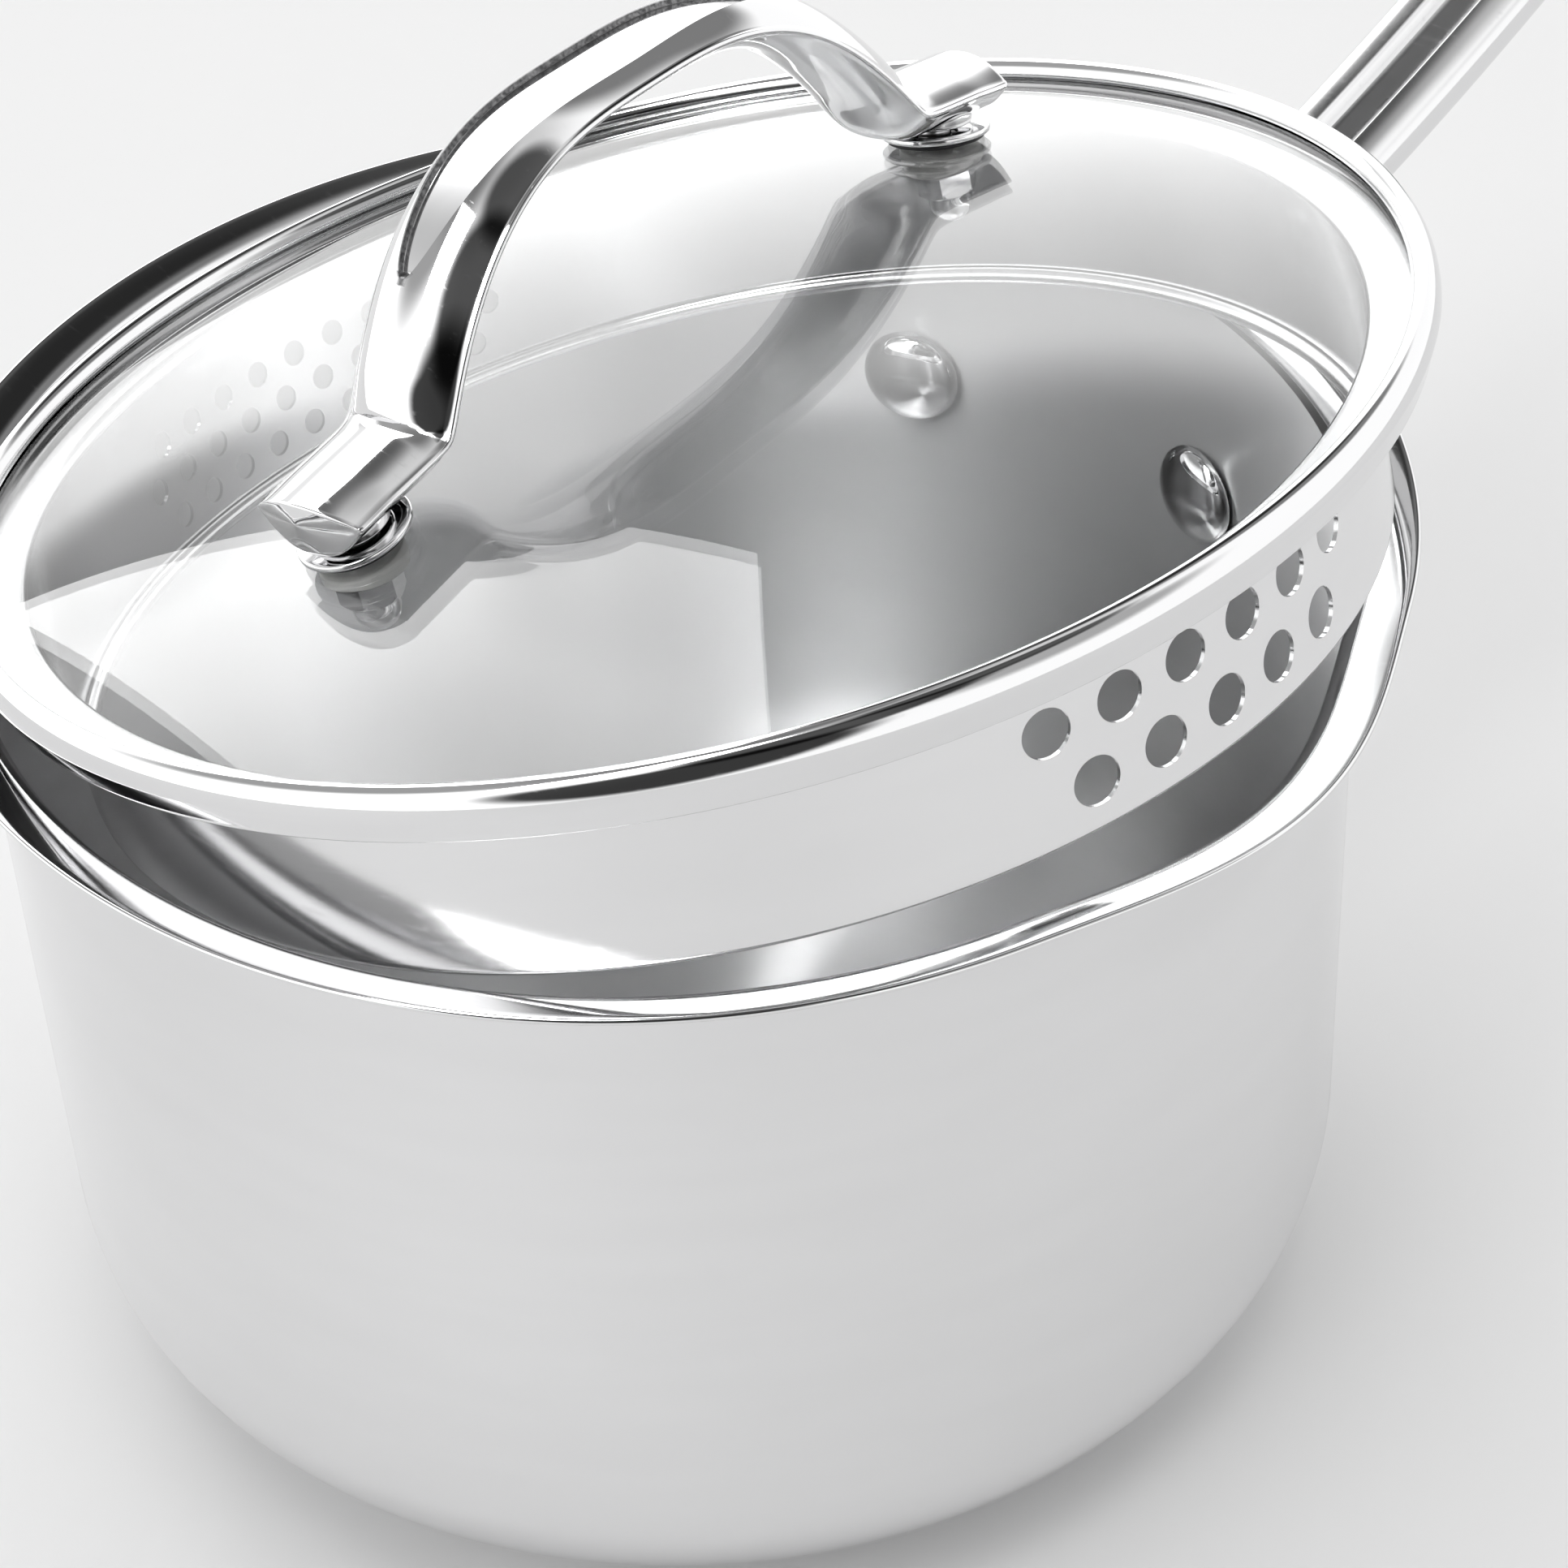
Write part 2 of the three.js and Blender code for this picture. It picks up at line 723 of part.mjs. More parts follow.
const lid = new THREE.Group();
lid.position.set(lidAside, lidShift, lidLevel());
lid.rotation.x = -radians(lidTilt);
lid.add(piece('lid_rim', closedRing(rimProfile), 0xdadadc, 0.12, 1));
lid.add(piece('strainer_band', strainerBand(), 0xd6d6d8, 0.2, 1));
lid.add(piece('glass_pane', glassPane(), 0xe6eaea, 0.03, 0, 0.35));
lid.add(piece('lid_handle', lidHandle(), 0xdcdcde, 0.1, 1));
for (const [name, side] of [['near', -1], ['far', 1]]) {
  const ring = piece(`foot_ring_${name}`, footRing(), 0xb4b4b8, 0.15, 1);
  const gasket = piece(`foot_gasket_${name}`, footGasket(), 0x2c2c2e, 0.6, 0);
  for (const flat of [ring, gasket]) {
    flat.position.set(side * footX, 0, glassTop(footX));
    flat.rotation.y = side * slopeAtFoot;
    lid.add(flat);
  }
  lid.add(piece(`nut_pad_${name}`, nutPad(side), 0xd8d8d4, 0.6, 0));
  const nut = piece(`cap_nut_${name}`, capNut(), 0xd4d4d6, 0.15, 1);
  const stud = piece(`foot_stud_${name}`, footStud(), 0xc4c4c6, 0.3, 1);
  for (const upright of [nut, stud]) {
    upright.position.x = side * footX;
    lid.add(upright);
  }
}

const saucepan = new THREE.Group();
saucepan.add(pot, lid);

export default saucepan;
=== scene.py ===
"""Straining pot with a domed glass lid standing ajar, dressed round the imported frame.

Metres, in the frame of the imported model: +Z up, the long handle along +X, the pouring spout at -Y.
"""

import math
from collections import namedtuple

import bpy
import numpy as np
from bpy.props import FloatProperty, FloatVectorProperty, PointerProperty
from bpy.types import Operator, Panel, PropertyGroup
from mathutils import Matrix, Vector


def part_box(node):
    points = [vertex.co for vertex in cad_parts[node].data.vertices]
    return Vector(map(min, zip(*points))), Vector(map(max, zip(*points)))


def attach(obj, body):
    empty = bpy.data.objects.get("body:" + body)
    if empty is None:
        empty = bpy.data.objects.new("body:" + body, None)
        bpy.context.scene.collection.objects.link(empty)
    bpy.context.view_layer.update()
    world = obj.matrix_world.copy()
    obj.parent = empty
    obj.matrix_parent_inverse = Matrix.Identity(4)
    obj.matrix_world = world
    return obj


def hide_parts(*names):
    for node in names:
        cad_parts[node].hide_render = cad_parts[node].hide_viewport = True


bl_info = {
    "name": "Straining Pot",
    "version": (1, 0, 0),
    "blender": (4, 5, 0),
    "location": "3D View > Sidebar > Straining Pot",
    "description": "Builds a single-handled straining pot with a domed glass lid that stands ajar",
    "category": "Add Mesh",
}

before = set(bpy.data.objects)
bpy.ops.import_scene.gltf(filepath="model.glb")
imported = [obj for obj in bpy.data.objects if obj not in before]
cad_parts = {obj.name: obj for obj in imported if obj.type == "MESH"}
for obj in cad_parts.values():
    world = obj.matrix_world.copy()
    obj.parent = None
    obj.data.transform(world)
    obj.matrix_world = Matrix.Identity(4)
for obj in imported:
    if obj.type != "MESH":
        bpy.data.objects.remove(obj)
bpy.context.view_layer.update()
SHELL_LOW, SHELL_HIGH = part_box("pot_shell")
CAP_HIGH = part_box("base_cap")[1]

SMALL = 1e-9
FIT = 0.00025
SHARP = math.radians(38)
LIP_ROWS = 24
Surface = namedtuple("Surface", "points faces along")


# Sizes and colours that a user would change

def length(name, description, default):
    """A length in metres."""
    return FloatProperty(
        name=name, description=description, default=default, min=0.0, precision=5, unit="LENGTH"
    )


def angle(name, description, degrees):
    """An angle, given in degrees and kept in radians."""
    return FloatProperty(name=name, description=description, default=math.radians(degrees), subtype="ANGLE")


def colour(name, description, grey):
    """A linear colour, near neutral."""
    return FloatVectorProperty(
        name=name, description=description, default=grey, size=3, min=0.0, max=1.0, subtype="COLOR"
    )


class PotSizes(PropertyGroup):
    """Sizes of the pot's shell, base and rivets."""

    wall_radius: length("Wall radius", "Outside radius of the straight wall", 0.1)
    wall_thickness: length("Wall thickness", "Thickness of the drawn sheet", 0.001)
    bottom_round: length("Bottom round", "Radius between the wall and the bottom", 0.0227)
    lip_reach: length("Lip reach", "How far the lip flares out past the wall", 0.0076)
    lip_start: length("Lip start", "Start of the turn into the lip, below its edge", 0.0072)
    lip_root: length("Lip root", "Corner of the first turn, below the lip's edge", 0.0055)
    knee_reach: length("Knee reach", "Knee between the lip's two turns, out from the wall", 0.0023)
    knee_drop: length("Knee drop", "Knee between the lip's two turns, below its edge", 0.0026)
    fold_reach: length("Fold reach", "Corner of the second turn, out from the wall", 0.0032)
    fold_drop: length("Fold drop", "Corner of the second turn, below the lip's edge", 0.00147)
    lip_drop: length("Lip drop", "Upper face at the edge, below the lip's level", 0.0003)
    spout_reach: length("Spout reach", "How far the spout pushes the lip out", 0.0042)
    spout_angle: angle("Spout angle", "Half the angle that the spout takes up", 24)
    spout_depth: length("Spout depth", "How far the spout reaches down the wall", 0.028)
    cap_thickness: length("Cap thickness", "Sheet thickness of the base cap", 0.0007)
    rivet_angle: angle("Rivet angle", "Angle of each rivet from the handle's line", 17.1)
    rivet_drop: length("Rivet drop", "Rivets below the lip", 0.0407)
    rivet_radius: length("Rivet head radius", "Radius of the domed rivet head", 0.0082)
    rivet_height: length("Rivet head height", "Height of the domed rivet head", 0.0044)
    rivet_tail: length("Rivet tail radius", "Radius of the rivet's outer end", 0.005)


class HandleSizes(PropertyGroup):
    """Sizes of the long handle."""

    plate_thickness: length("Plate thickness", "Thickness of the plate on the wall", 0.0034)
    plate_height: length("Plate height", "Height of the plate on the wall", 0.027)
    plate_margin: length("Plate margin", "Plate left past the rivets", 0.0075)
    reach: length("Reach", "Length of the handle from the plate", 0.178)
    rise: angle("Rise", "Slope of the handle", 13)
    dip: length("Dip", "How far the handle sags below a straight line", 0.005)
    width: length("Width", "Width of the grip", 0.021)
    thickness: length("Thickness", "Thickness of the grip", 0.01)
    neck_length: length("Neck length", "Length over which the neck narrows", 0.03)
    neck_thickness: length("Neck thickness", "Thickness of the neck at the plate", 0.015)
    groove_width: length("Groove width", "Width of the groove on top", 0.009)
    groove_depth: length("Groove depth", "Depth of the groove on top", 0.0026)
    hole_length: length("Hole length", "Length of the hanging hole", 0.024)
    hole_width: length("Hole width", "Width of the hanging hole", 0.009)
    hole_inset: length("Hole inset", "Metal left past the hanging hole", 0.012)


class LidSizes(PropertyGroup):
    """Sizes and stance of the lid: rim, straining skirt and glass."""

    tilt: angle("Tilt", "How far the lid leans on the pot's lip", 12.7)
    aside: FloatProperty(name="Aside", description="Lid's middle along X", default=0.0006, unit="LENGTH")
    shift: FloatProperty(name="Shift", description="Lid's middle along Y", default=-0.0054, unit="LENGTH")
    level: length("Level", "Height of the lid's middle", 0.15523548)
    rim_radius: length("Rim radius", "Outside radius of the rolled rim", 0.1057)
    rim_taper: length("Rim taper", "How far the rim draws in at its foot", 0.0015)
    rim_foot: length("Rim foot", "Depth of the rim below its middle", 0.0044)
    rim_top: length("Rim top", "Height of the bead above the rim's middle", 0.0038)
    rim_sheet: length("Rim sheet", "Sheet thickness of the rim", 0.0007)
    rim_shelf: length("Rim shelf", "Width of the shelf under the glass", 0.0055)
    bead_width: length("Bead width", "Width of the rolled bead", 0.0041)
    glass_radius: length("Glass radius", "Radius of the pane", 0.1032)
    glass_thickness: length("Glass thickness", "Thickness of the pane", 0.0034)
    dome_radius: length("Dome radius", "Radius that the pane is domed to", 0.345)
    band_radius: length("Skirt radius", "Outside radius of the straining skirt", 0.0953)
    band_sheet: length("Skirt sheet", "Sheet thickness of the skirt", 0.0006)
    band_depth: length("Skirt depth", "Depth of the skirt below the rim's middle", 0.0311)
    band_turn: angle("Skirt turn", "How far the hole pattern is turned from the spout", -4.9)
    hem_height: length("Hem height", "Height of the rolled hem", 0.0024)
    large_hole: length("Large hole", "Diameter of the large straining holes", 0.007)
    large_pitch: length("Large pitch", "Spacing of the large holes along a row", 0.0112)
    small_hole: length("Small hole", "Diameter of the small straining holes", 0.0039)
    small_pitch: length("Small pitch", "Spacing of the small holes along a row", 0.0077)


class KnobSizes(PropertyGroup):
    """Sizes of the lid's arched handle and of what holds it."""

    foot_span: length("Foot span", "Distance between the two feet", 0.1223)
    foot_rise: length("Foot rise", "Edges of the foot above the glass", 0.0079)
    toe_length: length("Toe length", "Toe past the foot's middle", 0.0081)
    toe_slope: FloatProperty(name="Toe slope", description="Slope of the toe", default=0.15)
    toe_bulge: length("Toe bulge", "How far the middle of the toe's end stands out", 0.0016)
    kink_inset: length("Kink inset", "Distance from the foot to the kink", 0.01155)
    kink_softness: length("Kink softness", "How softly the arch runs into the toe", 0.0015)
    arch_rise: length("Arch rise", "Edges of the arch above the top of the glass", 0.0323)
    arch_power: FloatProperty(name="Arch power", description="Fullness of the arch", default=3.0)
    width: length("Width", "Width of the bar", 0.02)
    crown: length("Crown", "Rise of the arch's top over its edges", 0.005)
    toe_crown: length("Toe crown", "Rise of the toe's top over its edges", 0.003)
    belly: length("Belly", "Depth of the arch below its edges", 0.0026)
    toe_belly: length("Toe belly", "Depth of the toe below its edges", 0.0045)
    edge: length("Edge", "Thickness of the bar's edges", 0.001)
    recess_length: length("Recess length", "Length of the leaf-shaped recess", 0.077)
    recess_width: length("Recess width", "Width of the leaf-shaped recess", 0.0137)
    recess_depth: length("Recess depth", "Height of the recess's wall", 0.001)
    boss_radius: length("Boss radius", "Radius of the foot's boss", 0.0056)
    ring_radius: length("Ring radius", "Radius of the washer under a foot", 0.0081)
    ring_thickness: length("Ring thickness", "Thickness of the washer", 0.001)
    gasket_radius: length("Gasket radius", "Radius of the soft washer", 0.0072)
    gasket_thickness: length("Gasket thickness", "Thickness of the soft washer", 0.0005)
    stud_radius: length("Stud radius", "Radius of the stud", 0.0024)
    stud_grip: length("Stud grip", "Stud inside the foot", 0.006)
    pad_radius: length("Pad radius", "Radius of the wedge pad under the glass", 0.006)
    pad_thickness: length("Pad thickness", "Least thickness of the wedge pad", 0.0016)
    nut_flats: length("Nut flats", "Cap nut across its flats", 0.008)
    nut_height: length("Nut height", "Height of the cap nut's hexagon", 0.0038)
    nut_dome: length("Nut dome", "Radius of the cap nut's dome", 0.0033)
    nut_neck: length("Nut neck", "Straight part under the dome", 0.0012)
    fit_gap: length("Fit gap", "Gap between pieces that bear on each other", FIT)


class FinishColours(PropertyGroup):
    """Colours of the finishes, and the painted shade in the lid handle's recess."""

    steel: colour("Steel", "Polished steel", (0.78, 0.78, 0.785))
    brushed: colour("Brushed steel", "Inside of the pot", (0.86, 0.86, 0.865))
    satin: colour("Satin steel", "Straining skirt", (0.8, 0.8, 0.805))
    # Painted shade: a near-black colour put on the wall and ends of the lid handle's recess, standing in for
    # the shade that falls there.
    cast: colour("Recess shade", "Painted shade on the unpolished wall of the recess", (0.09, 0.09, 0.092))
    aluminium: colour("Aluminium", "Core of the base", (0.7, 0.71, 0.72))
    glass: colour("Glass", "Tint of the pane", (0.985, 0.99, 0.99))
    rubber: colour("Rubber", "Soft washers", (0.02, 0.02, 0.021))
    silicone: colour("Silicone", "Wedge pads", (0.72, 0.72, 0.7))
    floor: colour("Floor", "Floor under the pot", (0.93, 0.93, 0.93))


class StudioSizes(PropertyGroup):
    """Camera and light."""

    lens: FloatProperty(name="Lens", description="Focal length in millimetres", default=95.4, unit="CAMERA")
    eye: FloatVectorProperty(
        name="Eye", description="Camera's place", size=3, unit="LENGTH",
        default=(-0.353292, -0.332925, 0.48445),
    )
    aim: FloatVectorProperty(
        name="Aim", description="Way the camera looks", size=3, subtype="DIRECTION",
        default=(0.576447, 0.509442, -0.638888),
    )
    roll: angle("Roll", "Camera's turn about its line of sight", -3.18)
    sky: FloatProperty(name="Sky", description="Brightness of the white room", default=1.25)
    softbox: FloatProperty(name="Softbox", description="Brightness of the softboxes", default=3.6)
    fill: FloatProperty(name="Fill", description="Brightness of the lamp over the floor", default=1.5)


GROUPS = {
    "pot_sizes": PotSizes,
    "handle_sizes": HandleSizes,
    "lid_sizes": LidSizes,
    "knob_sizes": KnobSizes,
    "finish_colours": FinishColours,
    "studio_sizes": StudioSizes,
}


# Profiles of (radius, height) points

def line(start, end, count=2):
    """Evenly spaced points from start to end."""
    return np.linspace(start, end, count)


def arc(centre, reach, rise, start, end, count):
    """Part of an ellipse: centre plus reach times the cosine and rise times the sine, angles in degrees."""
    turn = np.radians(np.linspace(start, end, count))
    return np.stack([centre[0] + reach * np.cos(turn), centre[1] + rise * np.sin(turn)], 1)


def bend(start, corner, end, count):
    """Quadratic curve that leaves start and reaches end along the two lines through the corner."""
    start, corner, end = np.array(start), np.array(corner), np.array(end)
    step = np.linspace(0, 1, count)[:, None]
    return (1 - step) ** 2 * start + 2 * step * (1 - step) * corner + step ** 2 * end


def joined(*parts):
    """One polyline from several, without the points that repeat."""
    points = np.concatenate([np.asarray(part, float) for part in parts])
    apart = np.linalg.norm(np.diff(points, axis=0), axis=1) > SMALL
    return points[np.concatenate([[True], apart])]


def travelled(points):
    """Length of a polyline up to each of its points."""
    steps = np.linalg.norm(np.diff(points, axis=0), axis=1)
    return np.concatenate([[0.0], np.cumsum(steps)])


def sideways(points):
    """Unit normals on the right-hand side of a polyline, in its own plane."""
    run = np.gradient(points, axis=0)
    run /= np.linalg.norm(run, axis=1, keepdims=True)
    return np.stack([run[:, 1], -run[:, 0]], 1)


def smooth(low, high, value):
    """Soft step from 0 at low to 1 at high: three times the square less twice the cube of the share."""
    share = np.clip((value - low) / (high - low), 0.0, 1.0)
    return share * share * (3.0 - 2.0 * share)


# Surfaces

def cells(rows, columns, wrap_rows, wrap_columns):
    """Corner numbers of the cells of a grid, whose points run along the columns first."""
    row = np.arange(rows if wrap_rows else rows - 1)[:, None]
    column = np.arange(columns if wrap_columns else columns - 1)[None, :]
    here, beyond = row * columns, ((row + 1) % rows) * columns
    beside = (column + 1) % columns
    corners = np.stack([here + column, here + beside, beyond + beside, beyond + column], -1)
    return corners.reshape(-1, 4)


def revolve(profile, columns):
    """Turned surface. One parameter is the angle a about Z, the other the place along the profile of radius
    and height: x is radius times cos a, y is radius times sin a, z is height. A profile that starts and ends
    on the axis closes in two poles, and any other closes on itself. Heights run up on the outside."""
    poles = profile[0, 0] < SMALL
    along = travelled(profile)
    body = profile[1:-1] if poles else profile
    turn = np.linspace(0, 2 * np.pi, columns, endpoint=False)
    points = np.empty((len(body), columns, 3))
    points[..., 0] = body[:, :1] * np.cos(turn)
    points[..., 1] = body[:, :1] * np.sin(turn)
    points[..., 2] = body[:, 1:]
    faces = cells(len(body), columns, not poles, True).tolist()
    flat = points.reshape(-1, 3)
    if not poles:
        return Surface(flat, faces, np.repeat(along, columns))
    ends = np.array([[0, 0, profile[0, 1]], [0, 0, profile[-1, 1]]])
    first, last = len(flat), len(flat) + 1
    here = np.arange(columns)
    beside = (here + 1) % columns
    top = (len(body) - 1) * columns
    faces += np.stack([np.full(columns, first), beside, here], 1).tolist()
    faces += np.stack([top + here, top + beside, np.full(columns, last)], 1).tolist()
    places = np.concatenate([np.repeat(along[1:-1], columns), along[[0, -1]]])
    return Surface(np.concatenate([flat, ends]), faces, places)


def tube(points):
    """Closed skin over a grid of points whose rows are closed sections. The first and last row each shrink to
    one point."""
    rows, columns = points.shape[:2]
    flat = points[1:-1].reshape(-1, 3)
    faces = cells(rows - 2, columns, False, True).tolist()
    here = np.arange(columns)
    beside = (here + 1) % columns
    top = (rows - 3) * columns
    faces += np.stack([np.full(columns, len(flat)), beside, here], 1).tolist()
    faces += np.stack([top + here, top + beside, np.full(columns, len(flat) + 1)], 1).tolist()
    places = np.concatenate([flat, points[0, :1], points[-1, :1]])
    return Surface(places, faces, np.zeros(len(places)))


def punched(across, up, holes, around):
    """Sheet of places (across, up) with round holes, across running once around. A place nearer to a hole's
    edge than half a cell moves onto the edge. Cells inside a hole are dropped, and a cell with one corner
    inside keeps its other half."""
    place_u, place_v = np.meshgrid(across, up)
    state = np.ones(place_u.shape, int)
    for hole_u, hole_v, radius, cell in holes:
        off_u = (place_u - hole_u + around / 2) % around - around / 2
        off_v = place_v - hole_v
        far = np.hypot(off_u, off_v)
        near = np.abs(far - radius) <= cell / 2
        pull = np.where(near, radius / np.maximum(far, SMALL), 1.0)
        place_u = np.where(near, hole_u + off_u * pull, place_u)
        place_v = np.where(near, hole_v + off_v * pull, place_v)
        state = np.where(near, 0, np.where(far < radius - cell / 2, -1, state))
    corners = cells(len(up), len(across), False, True)
    worth = state.reshape(-1)[corners]
    whole = (worth.min(1) >= 0) & (worth.max(1) > 0)
    faces = corners[whole].tolist()
    for corner in range(4):
        half = (worth[:, corner] < 0) & (np.sum(worth < 0, 1) == 1) & (worth.max(1) > 0)
        faces += np.delete(corners[half], corner, 1).tolist()
    return place_u.reshape(-1), place_v.reshape(-1), faces


def open_edges(faces):
    """Edges that only one face uses, in that face's direction."""
    starts = np.concatenate([np.array(face) for face in faces])
    ends = np.concatenate([np.roll(face, -1) for face in faces])
    most = max(starts.max(), ends.max()) + 1
    key = np.minimum(starts, ends) * most + np.maximum(starts, ends)
    _, place, count = np.unique(key, return_index=True, return_counts=True)
    lone = place[count == 1]
    return starts[lone], ends[lone]


def two_skins(front, back, faces, along):
    """Closed sheet: the front skin, the back skin turned round, and a wall along every open edge."""
    count = len(front)
    start, end = open_edges(faces)
    walls = np.stack([end, start, start + count, end + count], 1).tolist()
    both = faces + [[corner + count for corner in reversed(face)] for face in faces] + walls
    used = np.unique(np.concatenate([np.array(face) for face in both]))
    renumber = np.zeros(2 * count, int)
    renumber[used] = np.arange(len(used))
    points = np.concatenate([front, back])[used]
    return Surface(points, [renumber[face].tolist() for face in both], np.concatenate([along, along])[used])


def moved(surface, matrix):
    """A surface placed by a rotation and a shift."""
    turn = np.array(matrix.to_3x3())
    return surface._replace(points=surface.points @ turn.T + np.array(matrix.translation))


def lid_place():
    """Where the lid lies: tilted about X, over the pot's mouth."""
    lid = bpy.context.scene.lid_sizes
    return Matrix.Translation((lid.aside, lid.shift, lid.level)) @ Matrix.Rotation(-lid.tilt, 4, "X")


# Pieces

def mesh_object(name, surface):
    """A mesh object at the origin with smooth faces and edges that stay sharp where it turns hard."""
    mesh = bpy.data.meshes.new(name)
    mesh.from_pydata(surface.points, [], surface.faces)
    mesh.attributes.new("along", "FLOAT", "POINT").data.foreach_set("value", surface.along)
    mesh.shade_smooth()
    mesh.set_sharp_from_angle(angle=SHARP)
    piece = bpy.data.objects.new(name, mesh)
    bpy.context.scene.collection.objects.link(piece)
    return piece


def carve(piece, steps):
    """Join or cut a piece with tool objects, which are used up."""
    for operation, tool in steps:
        change = piece.modifiers.new(operation.title(), "BOOLEAN")
        change.operation = operation
        change.solver = "EXACT"
        change.object = tool
    view = bpy.context.evaluated_depsgraph_get()
    result = bpy.data.meshes.new_from_object(piece.evaluated_get(view))
    piece.modifiers.clear()
    piece.data = result
    result.shade_smooth()
    result.set_sharp_from_angle(angle=SHARP)
    for _, tool in steps:
        bpy.data.objects.remove(tool)


def finish_piece(piece, nodes, body, slot, *materials):
    """Dress a piece, tie it to its body and let it stand for its CAD nodes."""
    for material in materials:
        piece.data.materials.append(material)
    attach(piece, body)
    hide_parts(*nodes)
    return piece


def pot_profile(pot):
    """Section of the shell: bottom, round, wall and lip outside, a round edge, then the same inside."""
    floor, lip_level = SHELL_LOW.z, SHELL_HIGH.z
    sheet, wall = pot.wall_thickness, pot.wall_radius
    hollow = wall - sheet
    foot = wall - pot.bottom_round
    turn_low = lip_level - pot.lip_start
    spout_low = lip_level - pot.spout_depth
    knee = (hollow + pot.knee_reach, lip_level - pot.knee_drop)
    fold = (hollow + pot.fold_reach, lip_level - pot.fold_drop)
    brim = (wall + pot.lip_reach, lip_level - pot.lip_drop)
    inner_lip = joined(
        bend((hollow, turn_low), (hollow, lip_level - pot.lip_root), knee, 10),
        bend(knee, fold, brim, 14),
    )
    outer_lip = inner_lip + sheet * sideways(inner_lip)
    middle = (inner_lip[-1] + outer_lip[-1]) / 2
    start = math.degrees(math.atan2(*(outer_lip[-1] - middle)[::-1]))
    edge = arc(middle, sheet / 2, sheet / 2, start, start + 180, 9)
    corner = (foot, floor + pot.bottom_round)
    inner_round = pot.bottom_round - sheet
    outside = joined(
        line((0, floor), (foot, floor), 14),
        arc(corner, pot.bottom_round, pot.bottom_round, -90, 0, 24),
        line((wall, corner[1]), (wall, spout_low), 10),
        line((wall, spout_low), (wall, turn_low), 20),
        outer_lip,
        edge[:5],
    )
    inside = joined(
        edge[4:],
        inner_lip[::-1],
        line((hollow, turn_low), (hollow, spout_low), 20),
        line((hollow, spout_low), (hollow, corner[1]), 10),
        arc(corner, inner_round, inner_round, 0, -90, 24),
        line((foot, floor + sheet), (0, floor + sheet), 14),
    )
    return outside, inside


def push_spout(points, pot):
    """Push the shell out into a spout at -Y: the reach, times a soft step up the wall, times the squared
    cosine of the share of the spout's angle."""
    lip_level = SHELL_HIGH.z
    radius = np.hypot(points[:, 0], points[:, 1])
    turn = np.arctan2(points[:, 1], points[:, 0]) + np.pi / 2
    off = np.abs((turn + np.pi) % (2 * np.pi) - np.pi) / pot.spout_angle
    height = smooth(lip_level - pot.spout_depth, lip_level, points[:, 2])
    push = pot.spout_reach * height * np.cos(np.pi / 2 * np.minimum(off, 1.0)) ** 2
    scale = 1 + np.where(radius > pot.wall_radius / 2, push / np.maximum(radius, SMALL), 0.0)
    points[:, :2] *= scale[:, None]
    return points


class PotBodyOperator(Operator):
    """Make the pot's shell, with its flared lip and spout."""

    bl_idname = "straining_pot.body"
    bl_label = "Pot body"

    def execute(self, context):
        pot = context.scene.pot_sizes
        outside, inside = pot_profile(pot)
        columns = 360
        surface = revolve(joined(outside, inside), columns)
        surface = surface._replace(points=push_spout(surface.points, pot))
        piece = mesh_object("pot_body", surface)
        outer, inner, lip = 0, 1, 2
        row = np.arange(len(surface.faces)) // columns
        below = np.where(row >= len(outside) - LIP_ROWS, lip, outer)
        finish = np.where(row >= len(outside) + LIP_ROWS, inner, below)
        # The faces round the lower pole come after the rows
        finish[-2 * columns:-columns] = outer
        piece.data.polygons.foreach_set("material_index", finish.astype(np.int32))
        finish_piece(
            piece, ["pot_shell"], "pot", "pot_steel", outside_steel(), inside_steel(), polished_steel()
        )
        return {"FINISHED"}


class BaseOperator(Operator):
    """Make the base cap and dress the core that it holds."""

    bl_idname = "straining_pot.base"
    bl_label = "Base"

    def execute(self, context):
        sheet = context.scene.pot_sizes.cap_thickness
        radius, top = CAP_HIGH.x, CAP_HIGH.z
        profile = joined(
            line((0, 0), (radius - sheet, 0), 20),
            arc((radius - sheet, sheet), sheet, sheet, -90, 0, 8),
            line((radius, sheet), (radius, top), 5),
            line((radius - sheet, top), (radius - sheet, sheet), 3),
            line((radius - sheet, sheet), (0, sheet), 8),
        )
        piece = mesh_object("base_plate", revolve(profile, 240))
        finish_piece(piece, ["base_cap"], "pot", "base_steel", turned_steel())
        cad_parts["base_core"].data.materials.clear()
        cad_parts["base_core"].data.materials.append(core_aluminium())
        return {"FINISHED"}


def rivet_surface(pot, plate):
    """Rivet along X at the handle's line: a domed head, a shank and a flat tail, turned about its axis."""
    hollow = pot.wall_radius - pot.wall_thickness
    head = pot.rivet_radius
    edge = head * 0.09
    seat = math.sqrt(hollow ** 2 - head ** 2) - FIT
    tail = pot.wall_radius + plate + 2 * FIT
    shank = 0.003
    profile = joined(
        arc((0, seat - edge), head, pot.rivet_height - edge, -90, 0, 20),
        arc((head - edge, seat - edge), edge, edge, 0, 90, 6),
        line((head - edge, seat), (shank, seat)),
        line((shank, seat), (shank, tail)),
        line((shank, tail), (pot.rivet_tail, tail)),
        arc((pot.rivet_tail - edge, tail + edge), edge, edge, 0, 90, 6),
        line((pot.rivet_tail - edge, tail + 2 * edge), (0, tail + 2.2 * edge), 4),
    )
    return revolve(profile, 64)


